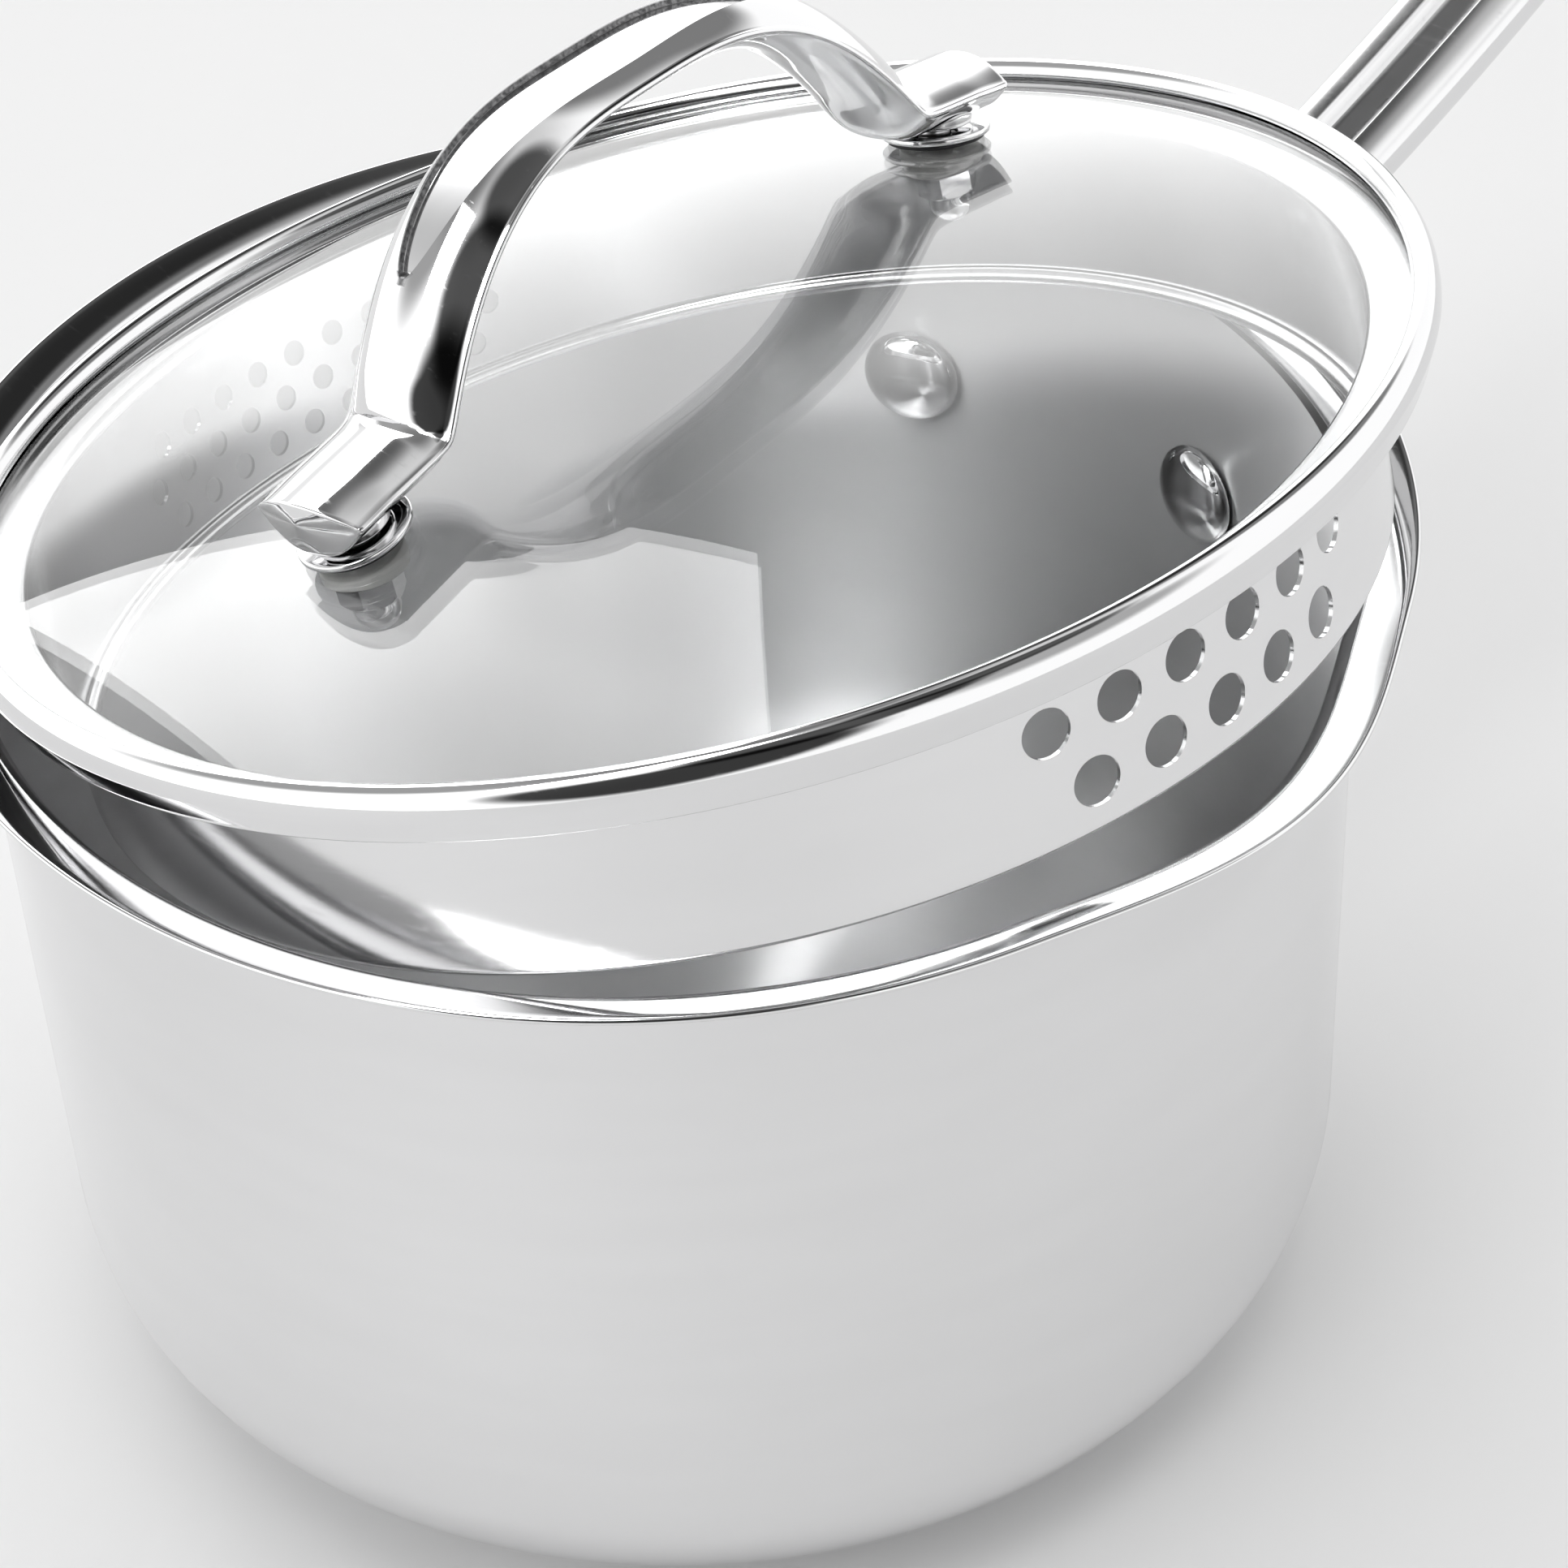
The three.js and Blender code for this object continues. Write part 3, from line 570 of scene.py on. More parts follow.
class RivetsOperator(Operator):
    """Make the two rivets that hold the long handle."""

    bl_idname = "straining_pot.rivets"
    bl_label = "Rivets"

    def execute(self, context):
        scene = context.scene
        pot = scene.pot_sizes
        for name, side in (("rivet_left", 1), ("rivet_right", -1)):
            place = (
                Matrix.Translation((0, 0, SHELL_HIGH.z - pot.rivet_drop))
                @ Matrix.Rotation(side * pot.rivet_angle, 4, "Z")
                @ Matrix.Rotation(math.pi / 2, 4, "Y")
            )
            surface = moved(rivet_surface(pot, scene.handle_sizes.plate_thickness), place)
            finish_piece(mesh_object(name + "_head", surface), [name], "pot", "rivet_steel", polished_steel())
        return {"FINISHED"}


def handle_line(handle, x, root, level):
    """Height of the long handle's middle: a straight rise less a half sine wave of sag."""
    return level + math.tan(handle.rise) * (x - root) - handle.dip * np.sin(np.pi * (x - root) / handle.reach)


def handle_bar(pot, handle):
    """Grip and neck: rounded-rectangle sections, each a superellipse, carried along the handle's line. The
    neck widens towards the wall, the end closes in a quarter round, and a soft groove runs along the top."""
    level = SHELL_HIGH.z - pot.rivet_drop
    inner = pot.wall_radius + FIT
    by_rivet, neck_flare, squareness, blunt, blunt_height = 0.003, 2.6, 0.62, 0.35, 0.6
    groove_start, groove_stop, groove_run, groove_side = 0.046, 0.05, 0.012, 0.0022
    root = inner + handle.plate_thickness / 2
    end = root + handle.reach
    tip = handle.width * 0.3
    x = np.concatenate([
        np.linspace(root, root + handle.neck_length, 26),
        np.linspace(root + handle.neck_length, end - tip, 110)[1:],
        end - tip + tip * np.sin(np.linspace(0, np.pi / 2, 14)[1:]),
    ])
    left = 1 - np.minimum((x - root) / handle.neck_length, 1)
    wide = (inner + handle.plate_thickness) * math.sin(pot.rivet_angle) - pot.rivet_tail - by_rivet
    half_width = handle.width / 2 + (wide - handle.width / 2) * left ** neck_flare
    half_height = handle.thickness / 2 + (handle.neck_thickness - handle.thickness) / 2 * left ** 2
    close = np.sqrt(np.maximum(1 - np.maximum((x - end + tip) / tip, 0) ** 2, 0))
    close = np.where(x > end - tip, blunt + (1 - blunt) * close, 1.0)
    turn = np.linspace(0, 2 * np.pi, 176, endpoint=False)
    aside = np.sign(np.cos(turn)) * np.abs(np.cos(turn)) ** squareness
    over = np.sign(np.sin(turn)) * np.abs(np.sin(turn)) ** squareness
    points = np.empty((len(x), len(turn), 3))
    points[..., 0] = x[:, None]
    points[..., 1] = (half_width * close)[:, None] * aside
    first, last = root + groove_start, end - groove_stop
    groove = smooth(first, first + groove_run, x) * (1 - smooth(last - groove_run, last, x))
    bed = smooth(handle.groove_width / 2, handle.groove_width / 2 - groove_side, np.abs(points[..., 1]))
    middle = handle_line(handle, x, root, level)
    close_height = blunt_height + (1 - blunt_height) * close
    points[..., 2] = middle[:, None] + (half_height * close_height)[:, None] * over
    points[..., 2] -= handle.groove_depth * groove[:, None] * bed * (over > 0)
    caps = np.broadcast_to(np.array([[root, 0, level], [end, 0, middle[-1]]])[:, None], (2, len(turn), 3))
    skin = np.concatenate([caps[:1], points, caps[1:]])
    return tube(skin[:, ::-1])


def handle_plate(pot, handle):
    """Plate on the wall: an outline with round ends, shrunk from its edge to its middle on both faces with a
    rounded edge between, and wrapped round the wall: angle is arc over radius."""
    level = SHELL_HIGH.z - pot.rivet_drop
    inner = pot.wall_radius + FIT
    outer = inner + handle.plate_thickness
    radius = handle.plate_height / 2
    half = outer * math.sin(pot.rivet_angle) + pot.rivet_tail + handle.plate_margin - radius
    right = arc((half, 0), radius, radius, -90, 90, 48)
    top = line((half, radius), (-half, radius), 40)
    out = joined(right, top, -right, -top)[:-1]
    soft = handle.plate_thickness * 0.35
    lay = joined(
        line((0, inner), (1, inner), 12),
        line((1, inner), (1, outer - soft), 3),
        arc((1 - soft / radius, outer - soft), soft / radius, soft, 0, 90, 7),
        line((1 - soft / radius, outer), (0, outer), 12),
    )
    arc_out = lay[:, :1] * out[:, 0]
    points = np.empty((len(lay), len(out), 3))
    points[..., 0] = lay[:, 1:] * np.cos(arc_out / outer)
    points[..., 1] = lay[:, 1:] * np.sin(arc_out / outer)
    points[..., 2] = level + lay[:, :1] * out[:, 1]
    return tube(points[:, ::-1])


def slot_tool(handle, pot):
    """Upright bar with a round-ended outline, which cuts the hanging hole."""
    root = pot.wall_radius + FIT + handle.plate_thickness / 2
    middle = root + handle.reach - handle.hole_inset - handle.hole_length / 2
    level = handle_line(handle, middle, root, SHELL_HIGH.z - pot.rivet_drop)
    turn = np.linspace(0, 2 * np.pi, 64, endpoint=False)
    half = (handle.hole_length - handle.hole_width) / 2
    x = middle + handle.hole_width / 2 * np.cos(turn) + np.where(np.cos(turn) >= 0, half, -half)
    y = handle.hole_width / 2 * np.sin(turn)
    share = np.array([0.0, 1.0, 1.0, 0.0])[:, None]
    height = np.array([-1.0, -1.0, 1.0, 1.0])[:, None] * 2 * handle.thickness + level
    points = np.empty((4, len(turn), 3))
    points[..., 0] = middle + share * (x - middle)
    points[..., 1] = share * y
    points[..., 2] = height
    return tube(points)


class LongHandleOperator(Operator):
    """Make the long handle with its plate, groove and hanging hole."""

    bl_idname = "straining_pot.long_handle"
    bl_label = "Long handle"

    def execute(self, context):
        scene = context.scene
        pot, handle = scene.pot_sizes, scene.handle_sizes
        piece = mesh_object("long_handle", handle_plate(pot, handle))
        carve(piece, [
            ("UNION", mesh_object("bar_tool", handle_bar(pot, handle))),
            ("DIFFERENCE", mesh_object("slot_tool", slot_tool(handle, pot))),
        ])
        finish_piece(piece, ["pot_handle"], "pot", "handle_steel", cast_steel())
        return {"FINISHED"}


def glass_top(lid, radius):
    """Height of the pane's upper face: a sphere's cap that meets the rim."""
    edge = -lid.rim_foot + lid.rim_sheet + lid.band_sheet + 2 * FIT + lid.glass_thickness
    sphere = lid.dome_radius ** 2
    return edge + np.sqrt(sphere - np.square(radius)) - math.sqrt(sphere - lid.glass_radius ** 2)


class RimOperator(Operator):
    """Make the rolled rim round the glass."""

    bl_idname = "straining_pot.rim"
    bl_label = "Lid rim"

    def execute(self, context):
        lid = context.scene.lid_sizes
        foot = lid.rim_radius - lid.rim_taper
        shelf = lid.rim_radius - lid.rim_shelf
        seat = lid.glass_radius + FIT
        sheet_top = -lid.rim_foot + lid.rim_sheet
        edge, bead_level, lap, clear = 0.0004, 0.0003, 0.0002, 0.0001
        half = lid.bead_width / 2
        bead = arc((lid.rim_radius - half, bead_level), half, lid.rim_top - bead_level, -8, 150, 34)
        lip = bead[-1, 0]
        lap_end = (lip + lap, glass_top(lid, lip) + clear)
        profile = joined(
            line((shelf, -lid.rim_foot), (foot - edge, -lid.rim_foot), 6),
            arc((foot - edge, -lid.rim_foot + edge), edge, edge, -90, -10, 7),
            line((foot, -lid.rim_foot + edge), bead[0], 10),
            bead,
            line((lip, glass_top(lid, lip) + edge), lap_end, 4),
            line(lap_end, (seat, glass_top(lid, seat) + clear), 5),
            line((seat, glass_top(lid, seat)), (seat, sheet_top), 5),
            line((seat, sheet_top), (shelf, sheet_top), 6),
        )
        surface = moved(revolve(profile, 480), lid_place())
        finish_piece(mesh_object("rolled_rim", surface), ["lid_rim"], "lid", "rim_steel", polished_steel())
        return {"FINISHED"}


def skirt_line(lid):
    """Middle line of the skirt's sheet: the rolled hem, the wall and the flange."""
    middle = lid.band_radius - lid.band_sheet / 2
    roll = lid.hem_height / 2 - lid.band_sheet / 2
    low = -lid.band_depth + lid.band_sheet / 2 + roll
    flange = -lid.rim_foot + lid.rim_sheet + FIT + lid.band_sheet / 2
    turn = 0.0014
    return joined(
        arc((middle - roll, low), roll, roll, 75, 360, 26),
        line((middle, low), (middle, flange - turn), 4),
        arc((middle + turn, flange - turn), turn, turn, 180, 90, 8),
        line((middle + turn, flange), (lid.glass_radius, flange), 5),
    )


def hole_rows(lid):
    """Straining holes as (angle, height over the hem's edge, radius), in staggered rows on opposite sides.
    A row is given as its count and its height."""
    large = ((5, 0.0075), (6, 0.0172))
    small = ((9, 0.0068), (10, 0.0127), (9, 0.0185))
    holes = []
    for centre, rows, pitch, size in (
        (-90, large, lid.large_pitch, lid.large_hole),
        (90, small, lid.small_pitch, lid.small_hole),
    ):
        for count, height in rows:
            steps = (np.arange(count) - (count - 1) / 2) * pitch / lid.band_radius
            holes += [(math.radians(centre) + lid.band_turn + step, height, size / 2) for step in steps]
    return holes


class SkirtOperator(Operator):
    """Make the straining skirt with its holes, flange and rolled hem."""

    bl_idname = "straining_pot.skirt"
    bl_label = "Straining skirt"

    def execute(self, context):
        lid = context.scene.lid_sizes
        path = skirt_line(lid)
        along = travelled(path)
        bottom = along[np.argmin(path[:, 1])]
        holes = hole_rows(lid)
        cell, plain = 0.00046, 90
        around = 2 * math.pi * lid.band_radius
        hole_u = np.array([hole[0] for hole in holes]) * lid.band_radius
        hole_v = np.array([hole[1] for hole in holes]) + bottom
        band = np.array([hole[2] for hole in holes]).max() + 3 * cell
        up = np.concatenate([
            along[along < hole_v.min() - band],
            np.arange(hole_v.min() - band, hole_v.max() + band, cell),
            along[along > hole_v.max() + band],
        ])
        sides = []
        for centre in (-90, 90):
            middle = (math.radians(centre) + lid.band_turn) * lid.band_radius
            off = np.abs((hole_u - middle + around / 2) % around - around / 2)
            reach = off[off < around / 4].max() + band
            sides.append((middle - reach, middle + reach))
        first, second = sides
        across = np.concatenate([
            np.arange(first[0], first[1], cell),
            np.linspace(first[1], second[0], plain, endpoint=False),
            np.arange(second[0], second[1], cell),
            np.linspace(second[1], first[0] + around, plain, endpoint=False),
        ])
        punches = [(u, v, hole[2], cell) for u, v, hole in zip(hole_u, hole_v, holes)]
        place_u, place_v, faces = punched(across, up, punches, around)
        normal = sideways(path)
        skins = []
        for side in (0.5, -0.5):
            line_in = path + side * lid.band_sheet * normal
            radius = np.interp(place_v, along, line_in[:, 0])
            height = np.interp(place_v, along, line_in[:, 1])
            turn = place_u / lid.band_radius
            skins.append(np.stack([radius * np.cos(turn), radius * np.sin(turn), height], 1))
        surface = moved(two_skins(skins[0], skins[1], faces, place_v), lid_place())
        piece = mesh_object("straining_skirt", surface)
        finish_piece(piece, ["strainer_band"], "lid", "strainer_steel", satin_steel())
        return {"FINISHED"}


class GlassOperator(Operator):
    """Make the domed pane."""

    bl_idname = "straining_pot.glass"
    bl_label = "Glass pane"

    def execute(self, context):
        lid = context.scene.lid_sizes
        round_edge = 0.0006
        radius = np.linspace(0, lid.glass_radius - round_edge, 60)
        over = np.stack([radius, glass_top(lid, radius)], 1)
        under = over - (0, lid.glass_thickness)
        edge_top, edge_low = over[-1], under[-1]
        edge = bend(edge_low, (edge_low + edge_top) / 2 + (2 * round_edge, 0), edge_top, 9)
        surface = moved(revolve(joined(under, edge, over[::-1]), 240), lid_place())
        finish_piece(mesh_object("domed_pane", surface), ["glass_pane"], "lid", "lid_glass", clear_glass())
        return {"FINISHED"}


def bar_line(lid, knob, x):
    """Line of the edges of the lid's handle: a power curve for the arch and a straight toe, blended by a soft
    maximum."""
    foot_x = knob.foot_span / 2
    kink = foot_x - knob.kink_inset
    kink_level = glass_top(lid, foot_x) + knob.foot_rise + knob.kink_inset * knob.toe_slope
    peak = glass_top(lid, 0) + knob.arch_rise
    out = np.abs(x)
    arch = peak - (peak - kink_level) * (out / kink) ** knob.arch_power
    toe = kink_level - (out - kink) * knob.toe_slope
    return (arch + toe + np.hypot(arch - toe, knob.kink_softness)) / 2


def knob_section(knob, x):
    """Section of the bar as (aside, lift) at each place along it. The top rises from the edges to the crown
    by one less the squared share of the half width, the belly hangs below them by one less a power of it, and
    a half round joins the two. The inner columns of the top keep to the leaf-shaped outline of the recess,
    half its width times a power of one less the squared share of its length, and lie flat at its bottom."""
    toe_blend, leaf_power, leaf_least, leaf_fade, belly_power = 0.004, 0.51, 0.0003, 0.0008, 2.4
    # The bounds below pick out the recess's wall, which gets painted shade as well as a rough unpolished
    # finish.
    recess_shade_from, recess_shade_to, recess_shade_end = 0.01, 0.97, 0.0006
    round_edge = knob.edge / 2
    wide = knob.width / 2 - round_edge
    kink = knob.foot_span / 2 - knob.kink_inset
    flat = smooth(kink - toe_blend, kink + toe_blend, np.abs(x))[:, None]
    crown = knob.crown + (knob.toe_crown - knob.crown) * flat
    belly = knob.belly + (knob.toe_belly - knob.belly) * flat
    reach = knob.recess_length / 2
    leaf = knob.recess_width / 2 * np.clip(1 - (x / reach) ** 2, 0, 1) ** leaf_power
    leaf = np.maximum(leaf, leaf_least)[:, None]
    sink = knob.recess_depth * smooth(reach, reach - leaf_fade, np.abs(x))[:, None]
    inner = np.linspace(-0.93, 0.93, 21)
    wall = np.array([0.95, 0.97, 0.985, 1.0])
    outer = np.linspace(0, 1, 15)[1:]
    far = leaf + (wide - leaf) * outer
    top = np.concatenate([-far[:, ::-1], -leaf * wall[::-1], leaf * inner, leaf * wall, far], 1)
    fall = np.array([0.0, 0.3, 0.75, 0.95])
    sunk = np.concatenate([0 * outer, fall, 0 * inner + 1, fall[::-1], 0 * outer])
    rise = round_edge + crown * (1 - (top / wide) ** 2)
    bed = round_edge + crown * (1 - (leaf / wide) ** 2) - sink
    hollow = np.where(sink > 0, sunk, 0.0)
    turn = np.radians(np.linspace(90, -90, 9)[1:-1])
    edge_aside = np.broadcast_to(wide + round_edge * np.cos(turn), (len(x), len(turn)))
    edge_lift = np.broadcast_to(round_edge * np.sin(turn), (len(x), len(turn)))
    share = np.linspace(1, -1, 33)
    under = -round_edge - belly * (1 - np.abs(share) ** belly_power)
    aside = np.concatenate([
        top, edge_aside, np.broadcast_to(share * wide, under.shape), -edge_aside[:, ::-1],
    ], 1)
    over = rise + hollow * (np.minimum(bed, rise) - rise)
    lift = np.concatenate([over, edge_lift, under, edge_lift[:, ::-1]], 1)
    # Mask of the recess's wall and its ends: it paints shade there as a near-black colour, and also gives the
    # real rough unpolished finish.
    cast = np.zeros(aside.shape)
    cast[:, :len(sunk)] = (hollow > recess_shade_from) & (hollow < recess_shade_to)
    cast[np.abs(np.abs(x) - reach) < recess_shade_end, len(outer):len(sunk) - len(outer)] = 1
    return aside, lift, cast


def knob_surface(lid, knob):
    """Lid's handle: the section carried along the line of its edges, each lift measured square to it. The
    toes' ends bulge by the squared share of the half width, and close in sections that shrink to a point."""
    toe = knob.foot_span / 2 + knob.toe_length
    end_run = 0.009
    fine_from, fine_to = knob.recess_length / 2 - 0.003, knob.recess_length / 2 + 0.001
    half = np.concatenate([
        np.linspace(0, fine_from, 80)[:-1],
        np.linspace(fine_from, fine_to, 24),
        np.linspace(fine_to, toe, 70)[1:],
    ])
    x = np.concatenate([-half[:0:-1], half])
    aside, lift, cast = knob_section(knob, x)
    level = bar_line(lid, knob, x)
    slope = np.gradient(level, x)
    size = np.hypot(1, slope)
    near_end = smooth(toe - end_run, toe, np.abs(x))[:, None]
    bulge = knob.toe_bulge * near_end * (2 * aside / knob.width) ** 2
    points = np.empty(aside.shape + (3,))
    points[..., 0] = x[:, None] - np.sign(x)[:, None] * bulge - lift * (slope / size)[:, None]
    points[..., 1] = aside
    points[..., 2] = level[:, None] + lift / size[:, None]
    shrink = np.array([0.985, 0.96, 0.85, 0.65, 0.45, 0.25, 0.1, 0.0])[:, None, None]
    step = np.array([0.00018, 0.00025, 0.0003, 0.0004, 0.00048, 0.00052, 0.00054, 0.00055])[:, None]
    ends = []
    for row, side in ((points[0], -1), (points[-1], 1)):
        centre = np.array([row[:, 0].max() if side > 0 else row[:, 0].min(), 0.0, row[:, 2].mean()])
        closing = centre + (row - centre) * shrink
        closing[..., 0] += side * step
        ends.append(closing)
    skin = np.concatenate([ends[0][::-1], points, ends[1]])
    surface = tube(skin)
    count = len(shrink)
    # The along attribute carries the recess mask, which paints shade on the recess's wall.
    marks = np.concatenate([np.zeros((count, aside.shape[1])), cast, np.zeros((count, aside.shape[1]))])[1:-1]
    return surface._replace(along=np.concatenate([marks.reshape(-1), [0.0, 0.0]]))


def foot_place(lid, knob, side):
    """On the glass under one foot, square to the dome."""
    foot_x = knob.foot_span / 2
    slope = math.asin(foot_x / lid.dome_radius)
    place = Matrix.Translation((side * foot_x, 0, glass_top(lid, foot_x)))
    return lid_place() @ place @ Matrix.Rotation(side * slope, 4, "Y")


class LidHandleOperator(Operator):
    """Make the lid's arched handle with its recess and two bosses."""

    bl_idname = "straining_pot.lid_handle"
    bl_label = "Lid handle"

    def execute(self, context):
        scene = context.scene
        lid, knob = scene.lid_sizes, scene.knob_sizes
        piece = mesh_object("arched_handle", moved(knob_surface(lid, knob), lid_place()))
        low = knob.gasket_thickness + knob.ring_thickness + 4 * knob.fit_gap
        radius, soft = knob.boss_radius, 0.0004
        profile = joined(
            line((0, low), (radius - soft, low), 3),
            arc((radius - soft, low + soft), soft, soft, -90, 0, 5),
            line((radius, low + soft), (radius, knob.foot_rise), 4),
            line((radius, knob.foot_rise), (0, knob.foot_rise), 3),
        )
        tools = [
            ("UNION", mesh_object("boss_tool", moved(revolve(profile, 64), foot_place(lid, knob, side))))
            for side in (-1, 1)
        ]
        carve(piece, tools)
        finish_piece(piece, ["lid_handle"], "lid", "lid_handle_steel", mirror_steel())
        return {"FINISHED"}


def washer(bore, radius, low, high, soft):
    """Flat ring with rounded outer edges."""
    profile = joined(
        line((bore, low), (radius - soft, low), 4),
        arc((radius - soft, low + soft), soft, soft, -90, 0, 6),
        arc((radius - soft, high - soft), soft, soft, 0, 90, 6),
        line((radius - soft, high), (bore, high), 4),
    )
    return revolve(profile, 96)


def wedge_pad(lid, knob):
    """Soft pad whose upper face follows the glass: a ring whose top falls by the dome's slope along X."""
    foot_x = knob.foot_span / 2
    slope = math.asin(foot_x / lid.dome_radius)
    under = glass_top(lid, foot_x) - lid.glass_thickness / math.cos(slope)
    low = under - knob.pad_radius * math.tan(slope) - knob.pad_thickness
    bore, soft_edge = knob.stud_radius + 2 * knob.fit_gap, 0.0003
    surface = washer(bore, knob.pad_radius, 0.0, knob.pad_thickness, soft_edge)
    points = surface.points.copy()
    lift = under - knob.fit_gap - low - knob.pad_thickness - points[:, 0] * math.tan(slope)
    points[:, 2] += low + lift * points[:, 2] / knob.pad_thickness
    return surface._replace(points=points), low - knob.fit_gap


def cap_nut(knob, top):
    """Cap nut: at each height the section is the lesser of a hexagon and a circle that narrows over the
    chamfer, with a dome below."""
    corner = knob.nut_flats / math.sqrt(3)
    flat_radius = knob.nut_flats / 2
    face, chamfer, top_break = 0.96 * flat_radius, 0.0005, 0.0003
    low = top - knob.nut_height
    dome_level = low - knob.nut_neck
    profile = joined(
        arc((0, dome_level), knob.nut_dome, knob.nut_dome, -90, 0, 16),
        line((knob.nut_dome, dome_level), (knob.nut_dome, low), 4),
        line((knob.nut_dome, low), (face, low), 3),
        line((face, low), (corner, low + chamfer), 8),
        line((corner, low + chamfer), (corner, top - top_break), 6),
        line((corner, top - top_break), (flat_radius, top), 5),
        line((flat_radius, top), (0, top), 3),
    )
    surface = revolve(profile, 96)
    points = surface.points.copy()
    turn = np.arctan2(points[:, 1], points[:, 0])
    flat = flat_radius / np.cos((turn + np.pi / 6) % (np.pi / 3) - np.pi / 6)
    radius = np.hypot(points[:, 0], points[:, 1])
    points[:, :2] *= np.minimum(1, flat / np.maximum(radius, SMALL))[:, None]
    return surface._replace(points=points)


class FastenersOperator(Operator):
    """Make the washers, soft rings, wedge pads, cap nuts and studs that hold the lid's handle."""

    bl_idname = "straining_pot.fasteners"
    bl_label = "Lid fasteners"

    def execute(self, context):
        scene = context.scene
        lid, knob = scene.lid_sizes, scene.knob_sizes
        foot_x = knob.foot_span / 2
        gap = knob.fit_gap
        bore = knob.stud_radius + 4 * gap
        seat = knob.gasket_thickness + 2 * gap
        ring_edge, gasket_edge, in_nut = 0.00035, 0.0002, 0.005
        ring = washer(bore, knob.ring_radius, seat, seat + knob.ring_thickness, ring_edge)
        gasket = washer(bore, knob.gasket_radius, gap, gap + knob.gasket_thickness, gasket_edge)
        pad, nut_top = wedge_pad(lid, knob)
        nut = cap_nut(knob, nut_top)
        low, high = nut_top - in_nut, glass_top(lid, foot_x) + knob.stud_grip
        rod, chamfer = knob.stud_radius, 0.0003
        stud = revolve(joined(
            line((0, low), (rod - chamfer, low), 3),
            line((rod - chamfer, low), (rod, low + chamfer)),
            line((rod, low + chamfer), (rod, high - chamfer), 40),
            line((rod, high - chamfer), (rod - chamfer, high)),
            line((rod - chamfer, high), (0, high), 3),
        ), 48)
        for end, side in (("near", -1), ("far", 1)):
            upright = lid_place() @ Matrix.Translation((side * foot_x, 0, 0))
            turned_round = upright @ Matrix.Rotation(0 if side > 0 else math.pi, 4, "Z")
            slanted = foot_place(lid, knob, side)
            for kind, shape, place, slot, material in (
                ("foot_ring", ring, slanted, "ring_steel", polished_steel),
                ("foot_gasket", gasket, slanted, "gasket_rubber", soft_rubber),
                ("nut_pad", pad, turned_round, "pad_rubber", pad_silicone),
                ("cap_nut", nut, upright, "nut_steel", polished_steel),
                ("foot_stud", stud, upright, "stud_steel", thread_steel),
            ):
                piece = mesh_object(f"{kind}_{end}_piece", moved(shape, place))
                finish_piece(piece, [f"{kind}_{end}"], "lid", slot, material())
        return {"FINISHED"}


# Materials

class Nodes:
    """Adds nodes to a tree, six to a row, and links them."""

    def __init__(self, tree):
        self.tree = tree
        self.count = 0

    def add(self, kind, settings=None, **inputs):
        """A node of a kind, with its settings and its input values or links by socket name."""
        node = self.tree.nodes.new(kind)
        node.location = (220 * (self.count % 6), -260 * (self.count // 6))
        self.count += 1
        for key, value in (settings or {}).items():
            setattr(node, key, value)
        for key, value in inputs.items():
            self.feed(node, key.replace("_", " "), value)
        return node

    def feed(self, node, name, value):
        """Set or link one input, by its name or its number."""
        socket = node.inputs[int(name)] if name.isdigit() else node.inputs[name]
        if isinstance(value, bpy.types.NodeSocket):
            self.tree.links.new(value, socket)
        else:
            socket.default_value = value

    def math(self, operation, first, second=0.0):
        """A sum, product or other arithmetic on two values."""
        node = self.add("ShaderNodeMath", {"operation": operation})
        self.feed(node, "0", first)
        self.feed(node, "1", second)
        return node.outputs[0]

    def spread(self, value, low, high):
        """A value from 0 to 1 spread over low to high."""
        node = self.add("ShaderNodeMapRange", None, Value=value, To_Min=low, To_Max=high)
        return node.outputs["Result"]

    def blend(self, share, first, second):
        """A colour between two, by a share."""
        node = self.add("ShaderNodeMix", {"data_type": "RGBA"})
        self.feed(node, "0", share)
        self.feed(node, "6", first)
        self.feed(node, "7", second)
        return node.outputs[2]


def new_group(name, inputs, outputs):
    """An empty node group with float sockets, and its nodes."""
    tree = bpy.data.node_groups.new(name, "ShaderNodeTree")
    for socket, default in inputs:
        made = tree.interface.new_socket(socket, in_out="INPUT", socket_type="NodeSocketFloat")
        made.default_value = default
    for socket in outputs:
        tree.interface.new_socket(socket, in_out="OUTPUT", socket_type="NodeSocketFloat")
    nodes = Nodes(tree)
    return tree, nodes, nodes.add("NodeGroupInput"), nodes.add("NodeGroupOutput")


